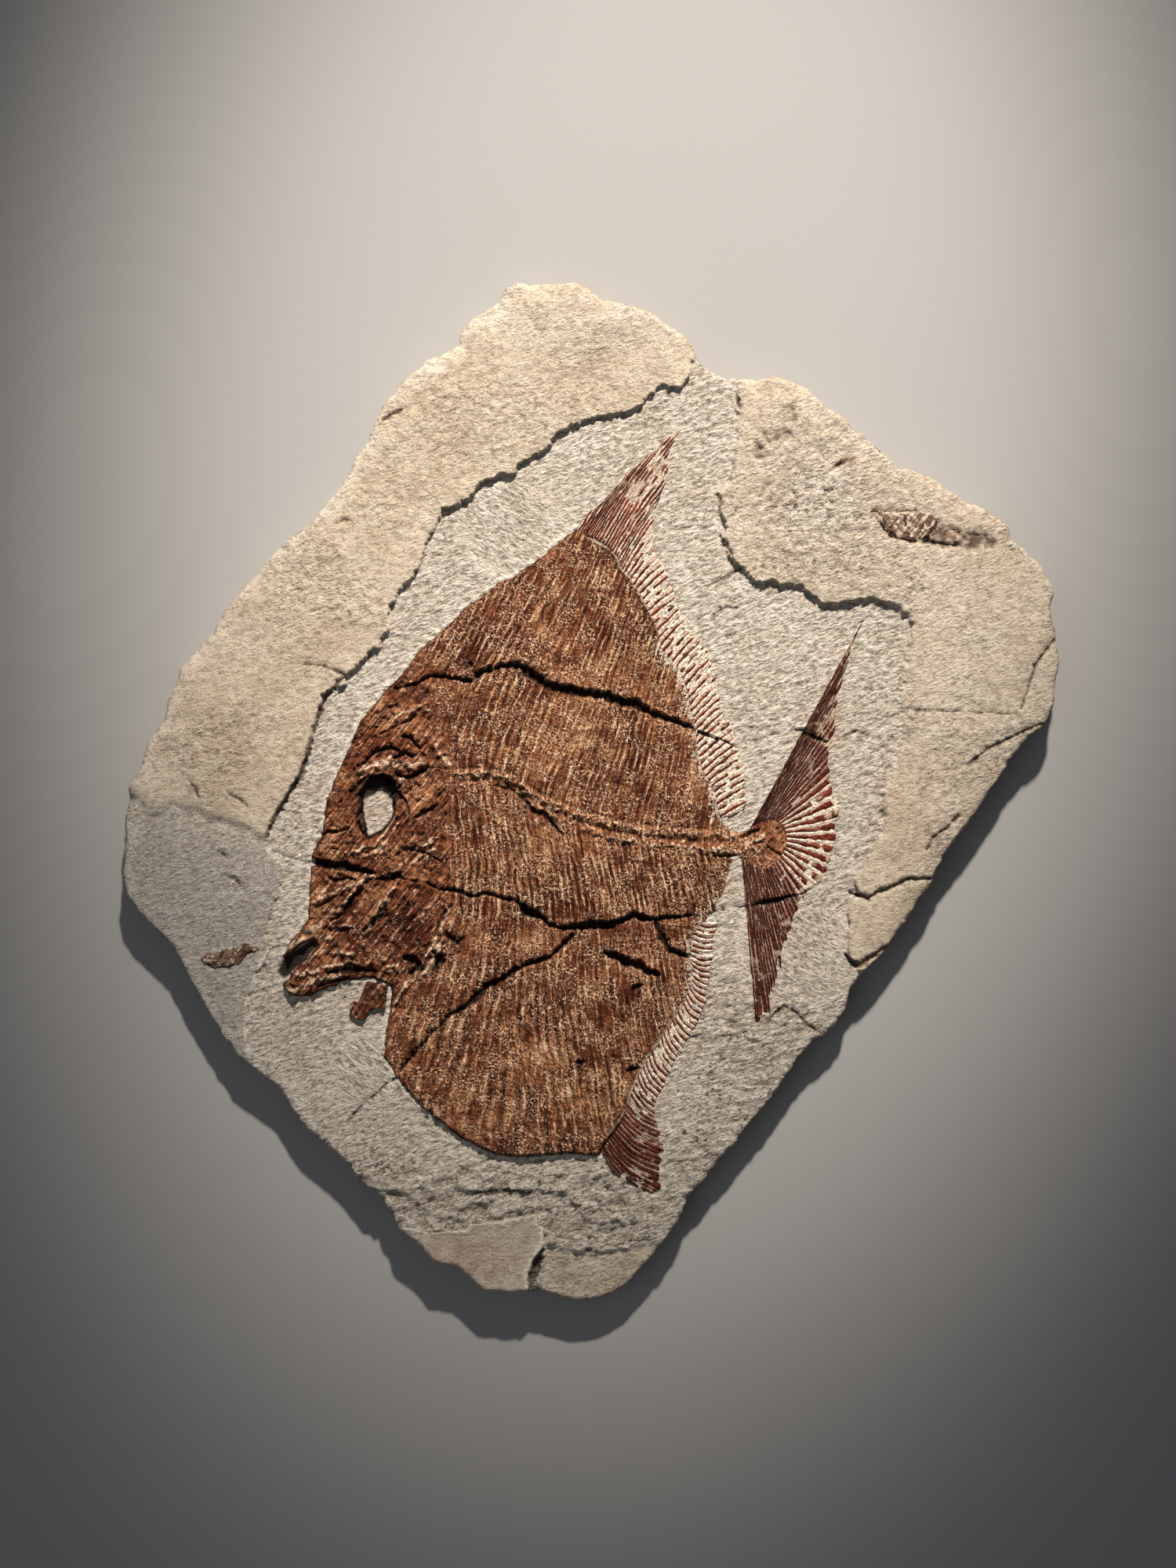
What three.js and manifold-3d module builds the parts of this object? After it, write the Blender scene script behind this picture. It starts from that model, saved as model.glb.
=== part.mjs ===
// A fossil fish on its limestone slab, lying on its back face.
// Millimetres, +Z out of the slab's face, +Y towards the fish's back fin, origin under the slab's middle.
import * as THREE from "three";
import { mergeVertices } from "three/addons/utils/BufferGeometryUtils.js";
import Module from "manifold-3d";

const wasm = await Module();
wasm.setup();

// ---------- driving dimensions ----------
const beddingTop = 19.5; // the upper bedding layers, left standing along the margins
const lowerLayerTop = 17.6; // the thinner layer at the lower left
const flakeTop = 17.2; // the flake left standing at the bottom edge
const preparedFace = 16; // the face dug down to round the fish
const restGap = 0.3; // clearance between a fossil piece and the stone or the piece beside it
const fossilBase = preparedFace + restGap;
const bodyEdgeHeight = 1.9; // how far the body's margin stands above its base
const bodyDomeHeight = 1.9; // how much higher the middle of the flank is
const bodyCell = 7.5; // facet size of the body's domed top
const boneRidgeHeight = 0.8; // skull ridges above the dome round them
const crackFloor = fossilBase + 0.7;
const finHeight = 1.3;
const finBaseHeight = 1.5;
const raySpacing = 2.3; // between fin rays, measured across them
const rayWidth = 1.3;
const pelvicHeight = 2;
const smallFishHeight = 0.8;
const scrapHeight = 0.9;
const above = 40; // any level clear above the whole object

// ---------- outlines, clockwise, x and y ----------
const slabOutline = [
  [-32, 217], [-16, 216], [-7, 217], [5, 209.5], [14, 208], [26, 204], [40.5, 193.5], [45, 184.5],
  [57, 176], [78, 177], [91, 172], [104.5, 161.5], [112, 154], [122, 146], [132, 137.5], [144, 134],
  [155, 127], [164, 122], [178, 113], [178.5, 108], [191, 97], [197, 85], [195.5, 77.5],
  [199.5, 55.5], [197, 37], [193.5, 29], [178, 13], [169.5, 0], [158, -17], [146.5, -34],
  [139.5, -46], [126.5, -65.5], [110, -85], [107.5, -95], [95, -106], [81, -124.5], [67, -142],
  [54, -157], [41, -173], [32, -190.5], [24, -200.5], [15.5, -210], [0, -217], [-14.5, -215],
  [-24, -212.5], [-46, -212.5], [-57, -202.5], [-67, -200.5], [-80, -188.5], [-91, -171],
  [-105.5, -156.5], [-121, -144], [-132.5, -126.5], [-151, -112.5], [-164, -92.5], [-178, -67],
  [-192, -52.5], [-198.5, -44], [-199.5, -34], [-196.5, -3], [-188.5, 21.5], [-180, 38.5],
  [-174.5, 52.5], [-161, 67], [-149.5, 85.5], [-136, 101], [-119.5, 114], [-107, 129.5],
  [-95.5, 148], [-88.5, 165], [-71, 183], [-56, 190], [-56, 195], [-40, 208],
];

// The step where the upper layers end and the prepared face begins: down the left side, then up the right.
const leftStep = [
  [44, 186], [40.5, 175], [30.5, 173], [20.5, 164.5], [0, 159.5], [-15.5, 152], [-20, 145.5],
  [-31, 140], [-32, 136], [-47, 131], [-55.5, 122], [-63, 121], [-75, 93], [-83, 85], [-86, 70],
  [-90, 61], [-104.5, 49.5], [-114.5, 41.5], [-118, 23], [-128, 1], [-138.5, -20], [-132, -30.5],
  [-132, -37], [-139, -68], [-147.5, -94], [-147.5, -102.5], [-144, -118],
];
const rightStep = [
  [116, -77], [109, -70], [110, -50], [112.5, -37], [121, -21], [124, 0], [134.5, 23],
  [132.5, 38.5], [137, 71], [126.5, 80], [100, 80], [90, 88], [71, 89], [61, 98], [55, 108],
  [55, 127], [63, 151], [62.5, 175],
];
const beyondTheSlab = { lowerLeft: [-160, -130], bottom: [-60, -230], lowerRight: [130, -80], top: [55, 200] };
const preparedArea = [
  ...leftStep,
  beyondTheSlab.lowerLeft,
  beyondTheSlab.bottom,
  [60, -230],
  beyondTheSlab.lowerRight,
  ...rightStep,
  beyondTheSlab.top,
];
const lowerLayerArea = [
  [-210, -5], [-189, -8.5], [-180, -6.5], [-169.5, -7], [-138.5, -20], [-120, -20], [-130, -130], [-210, -130],
];
const flakeArea = [
  [-90, -183], [-80, -185], [-54, -186.5], [-24, -180], [-19.5, -192], [-27, -205], [-27, -225], [-90, -225],
];

const bodyOutline = [
  [-3, 110], [5, 106], [11.5, 100.5], [20, 87], [28.5, 71.5], [30.5, 61], [39, 51], [43, 36],
  [46, 16], [52, 3], [54, -8], [60, -14], [65.5, -18], [63.5, -27], [59, -35.5], [57, -42.5],
  [47, -57], [43, -66], [44, -80], [40, -90.5], [29.5, -107], [21, -120.5], [16, -134.5],
  [5.3, -151.5], [-10, -154.5], [-32, -155.5], [-46.5, -152], [-60, -144], [-70, -136],
  [-81.5, -123.5], [-88.5, -112.5], [-86.5, -97], [-85, -83], [-95, -79], [-105, -80],
  [-119, -87], [-129, -86], [-131.6, -82], [-125.3, -75.5], [-117, -65], [-125, -67], [-131, -70],
  [-125, -60], [-120.5, -54], [-119.5, -29], [-114, -15], [-111, -0.5], [-103, 19], [-95.5, 34],
  [-83, 47.5], [-71, 62.5], [-57.5, 74.5], [-44, 85], [-34, 91], [-20, 101], [-9, 110],
];
const orbit = [
  [-98, 0], [-95, 4], [-88, 4], [-84, -2], [-85, -9], [-89, -16], [-95, -19], [-99, -9],
];
const mouth = [
  [-134, -76], [-128, -69], [-119, -63.5], [-119, -67.5], [-125, -74], [-130, -79],
];

const dorsalFinOutline = [
  [-9, 110], [-2, 118.5], [10, 128.5], [20, 139], [32.5, 150.5], [39, 156], [35, 147],
  [32.5, 132], [28, 124], [25, 115], [26, 101], [31.5, 93], [39, 75.5], [49.5, 58], [55, 42.5],
  [58.5, 30], [63.5, 19], [62.5, 13], [66, 3], [67, -8], [58, -12], [40, 10], [30, 50], [5, 100],
];
const dorsalFinBase = [
  [-7, 112], [5, 106.7], [12.4, 101], [20.8, 87.5], [29.5, 71.5], [31.5, 61.5], [40, 51.5],
  [44, 36.5], [47, 16.5], [53, 3.5], [55.3, -7],
];
const analFinOutline = [
  [3, -151], [9.5, -159], [14.5, -165.5], [22, -170], [31, -170.5], [30, -158], [29, -151],
  [21.5, -146], [20.5, -140], [26.5, -128], [31.5, -118], [41, -101.5], [49, -88], [51, -72],
  [52, -58], [47, -60], [40, -66], [38, -85], [20, -118], [10, -140],
];
const analFinBase = [
  [5.5, -152.5], [16.8, -135.5], [21.8, -121.3], [30.3, -107.8], [40.9, -91.2], [45, -80], [44, -66], [47.5, -59],
];
const tailFinOutline = [
  [66.5, -19.5], [71.5, -12.5], [79, 6.5], [85, 22], [97, 43], [109, 64.5], [116, 73.5],
  [110, 60], [104.5, 35], [101.5, 16], [104.5, -3], [106, -15], [98, -38.5], [88.5, -45.5],
  [83, -63.5], [78.5, -83.5], [74, -99.5], [69, -80], [65.5, -51.5], [64.8, -28.5],
];
const tailRoot = { x: 70, y: -22, radius: 7 };
const pelvicOutline = [
  [-96, -81.5], [-99.5, -90], [-103.5, -91], [-102.5, -96], [-97, -98], [-93, -93.5],
  [-88.2, -93], [-87, -84.5],
];
const smallFishOutline = [
  [-165, -69.5], [-163.5, -68], [-153, -67], [-147.5, -65.5], [-145.5, -66.5], [-140.5, -67],
  [-140.5, -68], [-146, -68.5], [-149.5, -73.5], [-157.5, -75], [-161, -75.5], [-164.5, -72.5],
];
const scrapOutline = [
  [121, 120], [132, 118.5], [143, 119], [147, 116], [144, 109], [138, 106], [131, 107.5], [125, 113],
];

// ---------- bands: cracks and skull ridges, each a route with its width ----------
const bodyCracks = [
  { width: 3.6, route: [[-46, 52], [-30, 53], [-14, 44.5], [4.5, 41], [20, 37], [34, 30.5], [43, 27]] },
  { width: 3.2, route: [[-125, -29.5], [-108, -31], [-95, -33.5], [-84, -37]] },
  { width: 3, route: [[-31, -47], [-24, -50], [-18.5, -56], [-3, -57], [8.5, -57], [18.5, -53], [27, -54]] },
  { width: 3, route: [[-10, -62], [-20, -71], [-33, -76], [-45, -83]] },
  { width: 3.4, route: [[7, -69], [20, -73.5], [28, -77]] },
];
const skullRidges = [
  { width: 4, route: [[-100, 9], [-92, 14], [-78, 13], [-68, 8]] },
  { width: 3, route: [[-105, -26.5], [-92, -22], [-85, -15], [-81, -6]] },
  { width: 3.6, route: [[-59, -49], [-67.5, -67], [-79, -85.5], [-84.5, -96]] },
  { width: 3.6, route: [[-66, -18.5], [-79.5, -29.5], [-89, -40]] },
];
const spine = { width: 8, route: [[-57, 5], [-33, 3], [-15, -8], [5, -15], [30, -19.5], [56, -21]] };

// ---------- shapes ----------
const vector = ([x, y]) => new THREE.Vector2(x, y);

// A closed three.js geometry as a solid that can be cut and joined.
function solidOf(geometry) {
  geometry.deleteAttribute("normal");
  geometry.deleteAttribute("uv");
  const merged = mergeVertices(geometry, 1e-4);
  return new wasm.Manifold(
    new wasm.Mesh({
      numProp: 3,
      vertProperties: merged.attributes.position.array,
      triVerts: new Uint32Array(merged.index.array),
    }),
  );
}

function prism(outline, bottom, top) {
  const shape = new THREE.Shape(outline.map(vector));
  const geometry = new THREE.ExtrudeGeometry(shape, { depth: top - bottom, bevelEnabled: false });
  return solidOf(geometry.translate(0, 0, bottom));
}

// An outline moved outwards by a distance, corner by corner; the outline runs clockwise.
function grown(outline, distance) {
  return outline.map((corner, i) => {
    const here = vector(corner);
    const before = vector(outline.at(i - 1)).sub(here).normalize();
    const after = vector(outline[(i + 1) % outline.length]).sub(here).normalize();
    const along = after.clone().sub(before).normalize();
    const outward = new THREE.Vector2(-along.y, along.x);
    return [here.x + outward.x * distance, here.y + outward.y * distance];
  });
}

// The outline of a band of one width along a route.
function band(route, width) {
  const side = (sign) =>
    route.map((corner, i) => {
      const before = vector(route[Math.max(i - 1, 0)]);
      const after = vector(route[Math.min(i + 1, route.length - 1)]);
      const along = after.sub(before).normalize();
      return [corner[0] - sign * along.y * (width / 2), corner[1] + sign * along.x * (width / 2)];
    });
  return [...side(1), ...side(-1).reverse()];
}

const joined = (solids) => solids.reduce((whole, solid) => whole.add(solid));

function meshOf(name, solid, material) {
  const made = solid.getMesh();
  const geometry = new THREE.BufferGeometry();
  geometry.setAttribute("position", new THREE.BufferAttribute(made.vertProperties, 3));
  geometry.setIndex(new THREE.BufferAttribute(made.triVerts, 1));
  geometry.computeVertexNormals();
  const mesh = new THREE.Mesh(geometry, material);
  mesh.name = name;
  return mesh;
}

// ---------- fin rays ----------
// Evenly spaced places along a route, each with the share of the route's length behind it.
function placesAlong(route, spacing) {
  const path = new THREE.CurvePath();
  for (let i = 1; i < route.length; i += 1) {
    path.add(new THREE.LineCurve(vector(route[i - 1]), vector(route[i])));
  }
  const count = Math.round(path.getLength() / spacing);
  return Array.from({ length: count + 1 }, (_, i) => ({ share: i / count, at: path.getPointAt(i / count) }));
}

// A value at a share of the way, read from evenly spread stations.
function valueAt(stations, share) {
  const place = share * (stations.length - 1);
  const i = Math.min(Math.floor(place), stations.length - 2);
  return THREE.MathUtils.lerp(stations[i], stations[i + 1], place - i);
}

// One ray: a bar that runs from its root in a direction, much longer than any fin until it is trimmed.
function ray(root, degrees) {
  const angle = THREE.MathUtils.degToRad(degrees);
  const reach = 140;
  const tip = [root.x + reach * Math.cos(angle), root.y + reach * Math.sin(angle)];
  return prism(band([[root.x, root.y], tip], rayWidth), fossilBase, fossilBase + finHeight);
}

// Rays and the strip that carries them, trimmed to the fin's outline and clear of the body.
function fin(outline, strip, rays, bodyRoom) {
  const carried = joined([strip, ...rays]);
  return carried.intersect(prism(outline, fossilBase - 1, above)).subtract(bodyRoom);
}

function marginFin(outline, base, angles, bodyRoom) {
  const strip = prism(band(base, 2.2), fossilBase, fossilBase + finBaseHeight);
  const lean = 0.75; // spacing along the base that gives the spacing across leaning rays
  const rays = placesAlong(base, raySpacing / lean).map(({ share, at }) => ray(at, valueAt(angles, share)));
  return largest(fin(outline, strip, rays, bodyRoom));
}

function tailFin(bodyRoom) {
  const rayCount = 44;
  const upperLobe = 64;
  const lowerLobe = -84;
  const root = new THREE.Shape();
  root.absarc(tailRoot.x, tailRoot.y, tailRoot.radius, 0, 2 * Math.PI);
  const hub = prism(root.getPoints(9).map((p) => [p.x, p.y]), fossilBase, fossilBase + finBaseHeight);
  const rays = Array.from({ length: rayCount }, (_, i) => {
    const turn = THREE.MathUtils.lerp(-1, 1, i / (rayCount - 1));
    // Rays crowd towards the two lobes and spread in the fork between them.
    const spread = Math.sign(turn) * Math.abs(turn) ** 0.7;
    const degrees = (upperLobe + lowerLobe) / 2 - (spread * (upperLobe - lowerLobe)) / 2;
    const start = THREE.MathUtils.degToRad(-turn * 95 - 4);
    const at = {
      x: tailRoot.x + (tailRoot.radius - 0.5) * Math.cos(start),
      y: tailRoot.y + (tailRoot.radius - 0.5) * Math.sin(start),
    };
    return ray(at, degrees);
  });
  return largest(fin(tailFinOutline, hub, rays, bodyRoom));
}

// The biggest of a solid's separate bodies; trimming can leave a crumb at a tip.
function largest(solid) {
  return solid.decompose().sort((a, b) => b.volume() - a.volume())[0];
}

// ---------- the pieces ----------
function slab() {
  const plate = prism(slabOutline, 0, beddingTop);
  const lowered = plate.subtract(prism(lowerLayerArea, lowerLayerTop, above));
  const prepared = lowered.subtract(prism(preparedArea, preparedFace, above));
  const flake = prism(slabOutline, 1, flakeTop).intersect(prism(flakeArea, 1, above));
  return prepared.add(flake);
}

// Height of the flank's domed top over the fossil's base.
function bodyHeight(x, y) {
  const across = (x + 30) / 105;
  const along = (y + 22) / 140;
  const middle = Math.max(0, 1 - across * across - along * along);
  return bodyEdgeHeight + bodyDomeHeight * Math.sqrt(middle);
}

function domedBlock() {
  const width = 225;
  const length = 285;
  const columns = Math.round(width / bodyCell);
  const rows = Math.round(length / bodyCell);
  const block = new THREE.BoxGeometry(width, length, 1, columns, rows, 1);
  block.translate(-32, -22, 0);
  const corners = block.attributes.position;
  for (let i = 0; i < corners.count; i += 1) {
    const top = fossilBase + bodyHeight(corners.getX(i), corners.getY(i));
    corners.setZ(i, corners.getZ(i) > 0 ? top : 0);
  }
  return solidOf(block);
}

function ridge({ route, width }) {
  const [x, y] = route[Math.floor(route.length / 2)];
  return prism(band(route, width), fossilBase, fossilBase + bodyHeight(x, y) + boneRidgeHeight);
}

function fishBody() {
  const outside = prism(bodyOutline, fossilBase, above);
  const flank = outside.intersect(domedBlock());
  const ridges = joined([...skullRidges, spine].map(ridge)).intersect(outside);
  const cracks = bodyCracks.map(({ route, width }) => prism(band(route, width), crackFloor, above));
  const openings = [prism(orbit, 0, above), prism(mouth, 0, above)];
  return flank.add(ridges).subtract(joined([...cracks, ...openings]));
}

// ---------- materials ----------
const stone = new THREE.MeshStandardMaterial({ color: 0xd9cfbd, roughness: 0.95, metalness: 0 });
const bone = new THREE.MeshStandardMaterial({ color: 0x8a5535, roughness: 0.6, metalness: 0 });
const finBone = new THREE.MeshStandardMaterial({ color: 0x7c4534, roughness: 0.65, metalness: 0 });
const paleBone = new THREE.MeshStandardMaterial({ color: 0x9a7c68, roughness: 0.85, metalness: 0 });

// ---------- assembly ----------
const bodyRoom = prism(grown(bodyOutline, restGap), 0, above);
const finOnBack = marginFin(dorsalFinOutline, dorsalFinBase, [56, 54, 52, 47, 44, 42, 38, 34], bodyRoom);
const finBelow = marginFin(analFinOutline, analFinBase, [-42, -48, -58, -60, -50, -35, -12], bodyRoom);
const onLowerLayer = lowerLayerTop + restGap;
const onUpperLayer = beddingTop + restGap;

const fossilSlab = new THREE.Group();
fossilSlab.add(
  meshOf("limestone_slab", slab(), stone),
  meshOf("fish_body", fishBody(), bone),
  meshOf("dorsal_fin", finOnBack, finBone),
  meshOf("anal_fin", finBelow, finBone),
  meshOf("tail_fin", tailFin(bodyRoom), finBone),
  meshOf("pelvic_fin", prism(pelvicOutline, fossilBase, fossilBase + pelvicHeight).subtract(bodyRoom), finBone),
  meshOf("small_fish", prism(smallFishOutline, onLowerLayer, onLowerLayer + smallFishHeight), paleBone),
  meshOf("bone_scrap", prism(scrapOutline, onUpperLayer, onUpperLayer + scrapHeight), paleBone),
);

export default fossilSlab;
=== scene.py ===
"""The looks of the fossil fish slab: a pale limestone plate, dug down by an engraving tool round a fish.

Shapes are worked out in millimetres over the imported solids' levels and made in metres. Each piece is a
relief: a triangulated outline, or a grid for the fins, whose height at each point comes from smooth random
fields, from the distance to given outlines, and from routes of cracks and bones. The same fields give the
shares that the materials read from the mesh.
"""

import math

import bpy
import numpy as np
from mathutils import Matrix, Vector
from mathutils.geometry import delaunay_2d_cdt


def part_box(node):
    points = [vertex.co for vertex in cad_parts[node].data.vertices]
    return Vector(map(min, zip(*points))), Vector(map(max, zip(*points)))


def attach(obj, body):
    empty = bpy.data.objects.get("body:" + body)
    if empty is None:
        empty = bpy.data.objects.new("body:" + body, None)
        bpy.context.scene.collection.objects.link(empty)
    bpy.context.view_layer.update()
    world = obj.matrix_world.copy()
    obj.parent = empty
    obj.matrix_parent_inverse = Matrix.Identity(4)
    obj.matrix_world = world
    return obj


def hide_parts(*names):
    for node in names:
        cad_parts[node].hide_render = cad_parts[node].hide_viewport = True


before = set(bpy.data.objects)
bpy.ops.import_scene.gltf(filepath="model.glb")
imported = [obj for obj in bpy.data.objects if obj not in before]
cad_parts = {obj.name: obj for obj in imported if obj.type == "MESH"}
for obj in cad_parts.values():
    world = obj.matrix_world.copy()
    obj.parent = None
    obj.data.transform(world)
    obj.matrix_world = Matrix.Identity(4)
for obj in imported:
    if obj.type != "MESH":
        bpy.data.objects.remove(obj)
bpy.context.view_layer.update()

MM = 0.001

# ---------- levels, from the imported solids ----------
REST_GAP = 0.3
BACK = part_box("limestone_slab")[0].z / MM
BEDDING_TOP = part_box("limestone_slab")[1].z / MM
PREPARED_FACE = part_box("fish_body")[0].z / MM - REST_GAP
LOWER_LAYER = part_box("small_fish")[0].z / MM - REST_GAP
FLAKE_TOP = PREPARED_FACE + 1.3

# ---------- outlines, clockwise, in millimetres ----------
SLAB_OUTLINE = [
    (-32, 217), (-26, 216), (-16, 216), (-7, 217), (0, 213), (5, 209.5), (14, 208), (26, 204), (31, 200),
    (40.5, 193.5), (43.5, 188.5), (45, 184.5), (51, 179), (57, 176), (63, 176), (71, 175.5), (78, 177),
    (84, 175), (91, 172), (97, 167), (100, 164), (104.5, 161.5), (112, 154), (115, 153), (122, 146),
    (132, 137.5), (136.5, 137.5), (144, 134), (151, 130), (155, 127), (159, 123), (164, 122), (172, 117.5),
    (178, 113), (178.5, 108), (185, 102.5), (191, 97), (195, 90), (197, 85), (195.5, 77.5), (197.5, 68),
    (199.5, 55.5), (198, 48.5), (197, 37), (193.5, 29), (186, 23), (178, 13), (174, 6), (169.5, 0),
    (164, -8.5), (158, -17), (151, -26), (146.5, -34), (144, -41), (139.5, -46), (134, -55), (126.5, -65.5),
    (121, -72), (116, -77), (110, -85), (107.5, -95), (99.5, -104), (95, -106), (88, -114), (81, -124.5),
    (74, -134), (67, -142), (61, -151), (54, -157), (49, -165), (41, -173), (37, -183.5), (32, -190.5),
    (24, -200.5), (15.5, -210), (7, -215), (0, -217), (-6, -217), (-14.5, -215), (-24, -212.5),
    (-34, -213.5), (-46, -212.5), (-51.5, -207.5), (-57, -202.5), (-67, -200.5), (-73, -193.5),
    (-80, -188.5), (-85, -180), (-91, -171), (-98, -166.5), (-105.5, -156.5), (-114, -149.5), (-121, -144),
    (-128, -135), (-132.5, -126.5), (-144, -118), (-151, -112.5), (-158, -102.5), (-164, -92.5),
    (-171, -80), (-178, -67), (-184, -60), (-192, -52.5), (-198.5, -44), (-199.5, -34), (-198.6, -24),
    (-198.6, -10), (-196.5, -3), (-197, 1.5), (-192, 10), (-188.5, 21.5), (-182, 30), (-180, 38.5),
    (-174.5, 52.5), (-168, 60), (-161, 67), (-157, 75.5), (-149.5, 85.5), (-141, 94), (-136, 101),
    (-127.5, 108), (-119.5, 114), (-114, 121.5), (-107, 129.5), (-102, 137.5), (-100.5, 143), (-95.5, 148),
    (-93, 155), (-88.5, 165), (-80.5, 174), (-71, 183), (-56, 190), (-56, 195), (-50.5, 201.5), (-40, 208),
    (-36.5, 214),
]
# The face dug down to round the fish: down the left step, out past the lower margin, up the right step.
PREPARED_AREA = [
    (44, 186), (42.5, 181), (40.5, 175), (38.5, 172), (30.5, 173), (25.5, 169.5), (20.5, 164.5),
    (14, 161.5), (8.5, 160.5), (0, 159.5), (-10, 155), (-15.5, 152), (-17.5, 148), (-20, 145.5), (-26, 142),
    (-31, 140), (-32, 136), (-40, 134.5), (-47, 131), (-52, 125), (-55.5, 122), (-63, 121), (-66, 113),
    (-70, 105), (-73, 97), (-77, 89.5), (-82, 86), (-83, 82), (-86, 79), (-86, 70), (-89.5, 65), (-90, 61),
    (-94.5, 59.5), (-99.5, 53.5), (-104.5, 49.5), (-104.5, 46), (-114.5, 41.5), (-115, 37), (-117, 31),
    (-118, 23), (-121, 15.5), (-124, 7), (-128, 1), (-131, -4), (-135, -11.5), (-138.5, -20), (-136, -26),
    (-132, -30.5), (-132, -37), (-134, -44), (-137, -54), (-139, -62), (-138, -68), (-139, -72.5),
    (-142.5, -77.5), (-146, -87), (-147.5, -94), (-147.5, -102.5), (-145, -110), (-144, -118), (-160, -130),
    (-90, -240), (70, -240), (130, -80), (116, -77), (114, -75), (109.5, -70), (109.5, -61), (110, -50),
    (114, -44), (112.5, -37), (118, -28.5), (121, -21), (125, -15.5), (124, 0), (128, 8.5), (134.5, 23),
    (133, 28.5), (132.5, 38.5), (134.5, 60), (137, 71), (135, 75.5), (126.5, 80), (119.5, 82), (109.5, 81),
    (100, 80), (95, 82), (90, 88), (81, 88), (77, 90.5), (71, 89), (67, 93), (61, 98), (57.5, 104),
    (55, 108), (58, 112.5), (55, 119.5), (55, 127), (59.5, 131), (60.5, 142), (63, 151), (62, 165),
    (62.5, 175), (60, 200),
]
LOWER_LAYER_AREA = [
    (-215, 4), (-193, -3), (-189, -8.5), (-184, -9), (-180, -6.5), (-169.5, -7), (-160, -11), (-150, -14),
    (-138.5, -20), (-115, -22), (-120, -135), (-215, -135),
]
FLAKE_AREA = [
    (-92, -181), (-84, -183), (-80, -185), (-68, -187), (-54, -186.5), (-51, -183.5), (-43, -183),
    (-24, -180), (-21, -186), (-19.5, -192), (-24, -198), (-27, -205), (-27, -225), (-92, -225),
]
SMOOTH_PATCH = [
    (-19, -192), (-13, -194), (0, -197), (14, -195), (24, -192), (40, -193), (40, -230), (-24, -230),
]
BODY_OUTLINE = [
    (-3, 110), (5, 106), (9, 103), (11.5, 100.5), (13, 96), (17, 91.5), (20, 87), (23, 81.5), (25.5, 77),
    (28.5, 71.5), (30, 65), (30.5, 61), (35, 56), (39, 51), (41, 44), (43, 36), (45, 28), (46, 20),
    (46, 14), (48, 9), (52, 3), (54, -3), (53.5, -9), (57, -14), (63, -17), (67, -15), (70, -12.5),
    (77, -10), (81.5, -12), (84.3, -17), (84.8, -22), (83, -28), (78.5, -32.5), (73, -34), (67.5, -31.5),
    (63, -28), (60.5, -29), (59, -35.5), (57, -42.5), (52.5, -50), (47, -57), (43, -64), (43.5, -71),
    (44, -80), (40, -90.5), (34, -99.5), (29.5, -107), (25, -113), (21, -120.5), (17.5, -128.5),
    (16, -134.5), (13.5, -139), (10, -144), (6, -149.5), (3, -155), (-10, -154), (-22, -155), (-32, -155.5),
    (-40, -154.5), (-46.5, -152), (-54, -148), (-60, -144), (-70, -136), (-77, -129), (-81.5, -123.5),
    (-84.5, -119), (-87, -115), (-88.5, -112.5), (-88, -109), (-87.5, -102), (-86.5, -97), (-85.5, -91),
    (-85, -83), (-90, -80.5), (-95, -79), (-100, -80), (-105, -80), (-109.5, -83), (-113, -83), (-119, -87),
    (-126, -87), (-129, -86), (-131.6, -82), (-129, -80), (-127, -77), (-125.3, -75.5), (-122, -73.3),
    (-120, -70.6), (-116.5, -65.5), (-118.5, -62.5), (-123.7, -65.2), (-127, -67.6), (-131, -70.5),
    (-129.5, -67), (-128, -63.5), (-125, -60), (-122, -56), (-120.5, -54), (-120, -47), (-120, -39),
    (-119.5, -33), (-119.5, -27), (-117, -23), (-115, -19), (-114, -13), (-113.5, -8), (-113, -3.5),
    (-111, -0.5), (-110, 3.5), (-108, 8.5), (-105.5, 13.5), (-103, 19), (-101, 24), (-98.5, 30),
    (-95.5, 34), (-91, 39), (-87, 44), (-83, 47.5), (-79, 52), (-75, 58), (-71, 62.5), (-66, 66.5),
    (-60.5, 71.5), (-57.5, 74.5), (-52.5, 79), (-48.5, 82), (-44, 85), (-40, 89), (-34, 91), (-20, 101),
    (-10, 109.5), (-6, 112),
]
ORBIT = [
    (-99, -1.2), (-96.6, 2.4), (-94.2, 6.6), (-88.2, 7.2), (-84.6, 6), (-83.2, 3), (-84, -2), (-84, -8.4),
    (-85.8, -13.2), (-89.4, -16.8), (-95.4, -19.8), (-96.6, -12), (-97.8, -8.4), (-97.5, -3.6),
]
ORBIT_STONE = [
    (-97.2, -3.6), (-89.4, 0.6), (-84.6, -3.6), (-84, -8.4), (-85.8, -13.2), (-89.4, -16.8), (-95.4, -19.8),
    (-96.6, -12),
]
MOUTH = [
    (-134, -77), (-131, -70), (-125, -66.5), (-118, -62), (-115, -66), (-121, -73), (-126.5, -77),
    (-131, -80),
]
PELVIC_OUTLINE = [
    (-96, -80), (-98.5, -86), (-99.5, -89.5), (-101, -88), (-103, -89.5), (-103.5, -93), (-102.5, -96),
    (-99, -98), (-96.5, -98), (-94, -94), (-91, -92.5), (-87.5, -93.5), (-86.5, -90), (-86, -82),
]
SMALL_FISH_OUTLINE = [
    (-166.3, -72.1), (-164.5, -70), (-163.5, -68.2), (-160, -69), (-157, -67.5), (-153, -67),
    (-150.5, -67.6), (-148, -65), (-145.4, -65.3), (-145.4, -66.6), (-140.3, -66.8), (-140.3, -67.7),
    (-145.6, -68), (-148, -70.8), (-149.7, -73.4), (-153.2, -74.5), (-157.7, -75), (-160.3, -75.6),
    (-162.8, -74.2),
]
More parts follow.
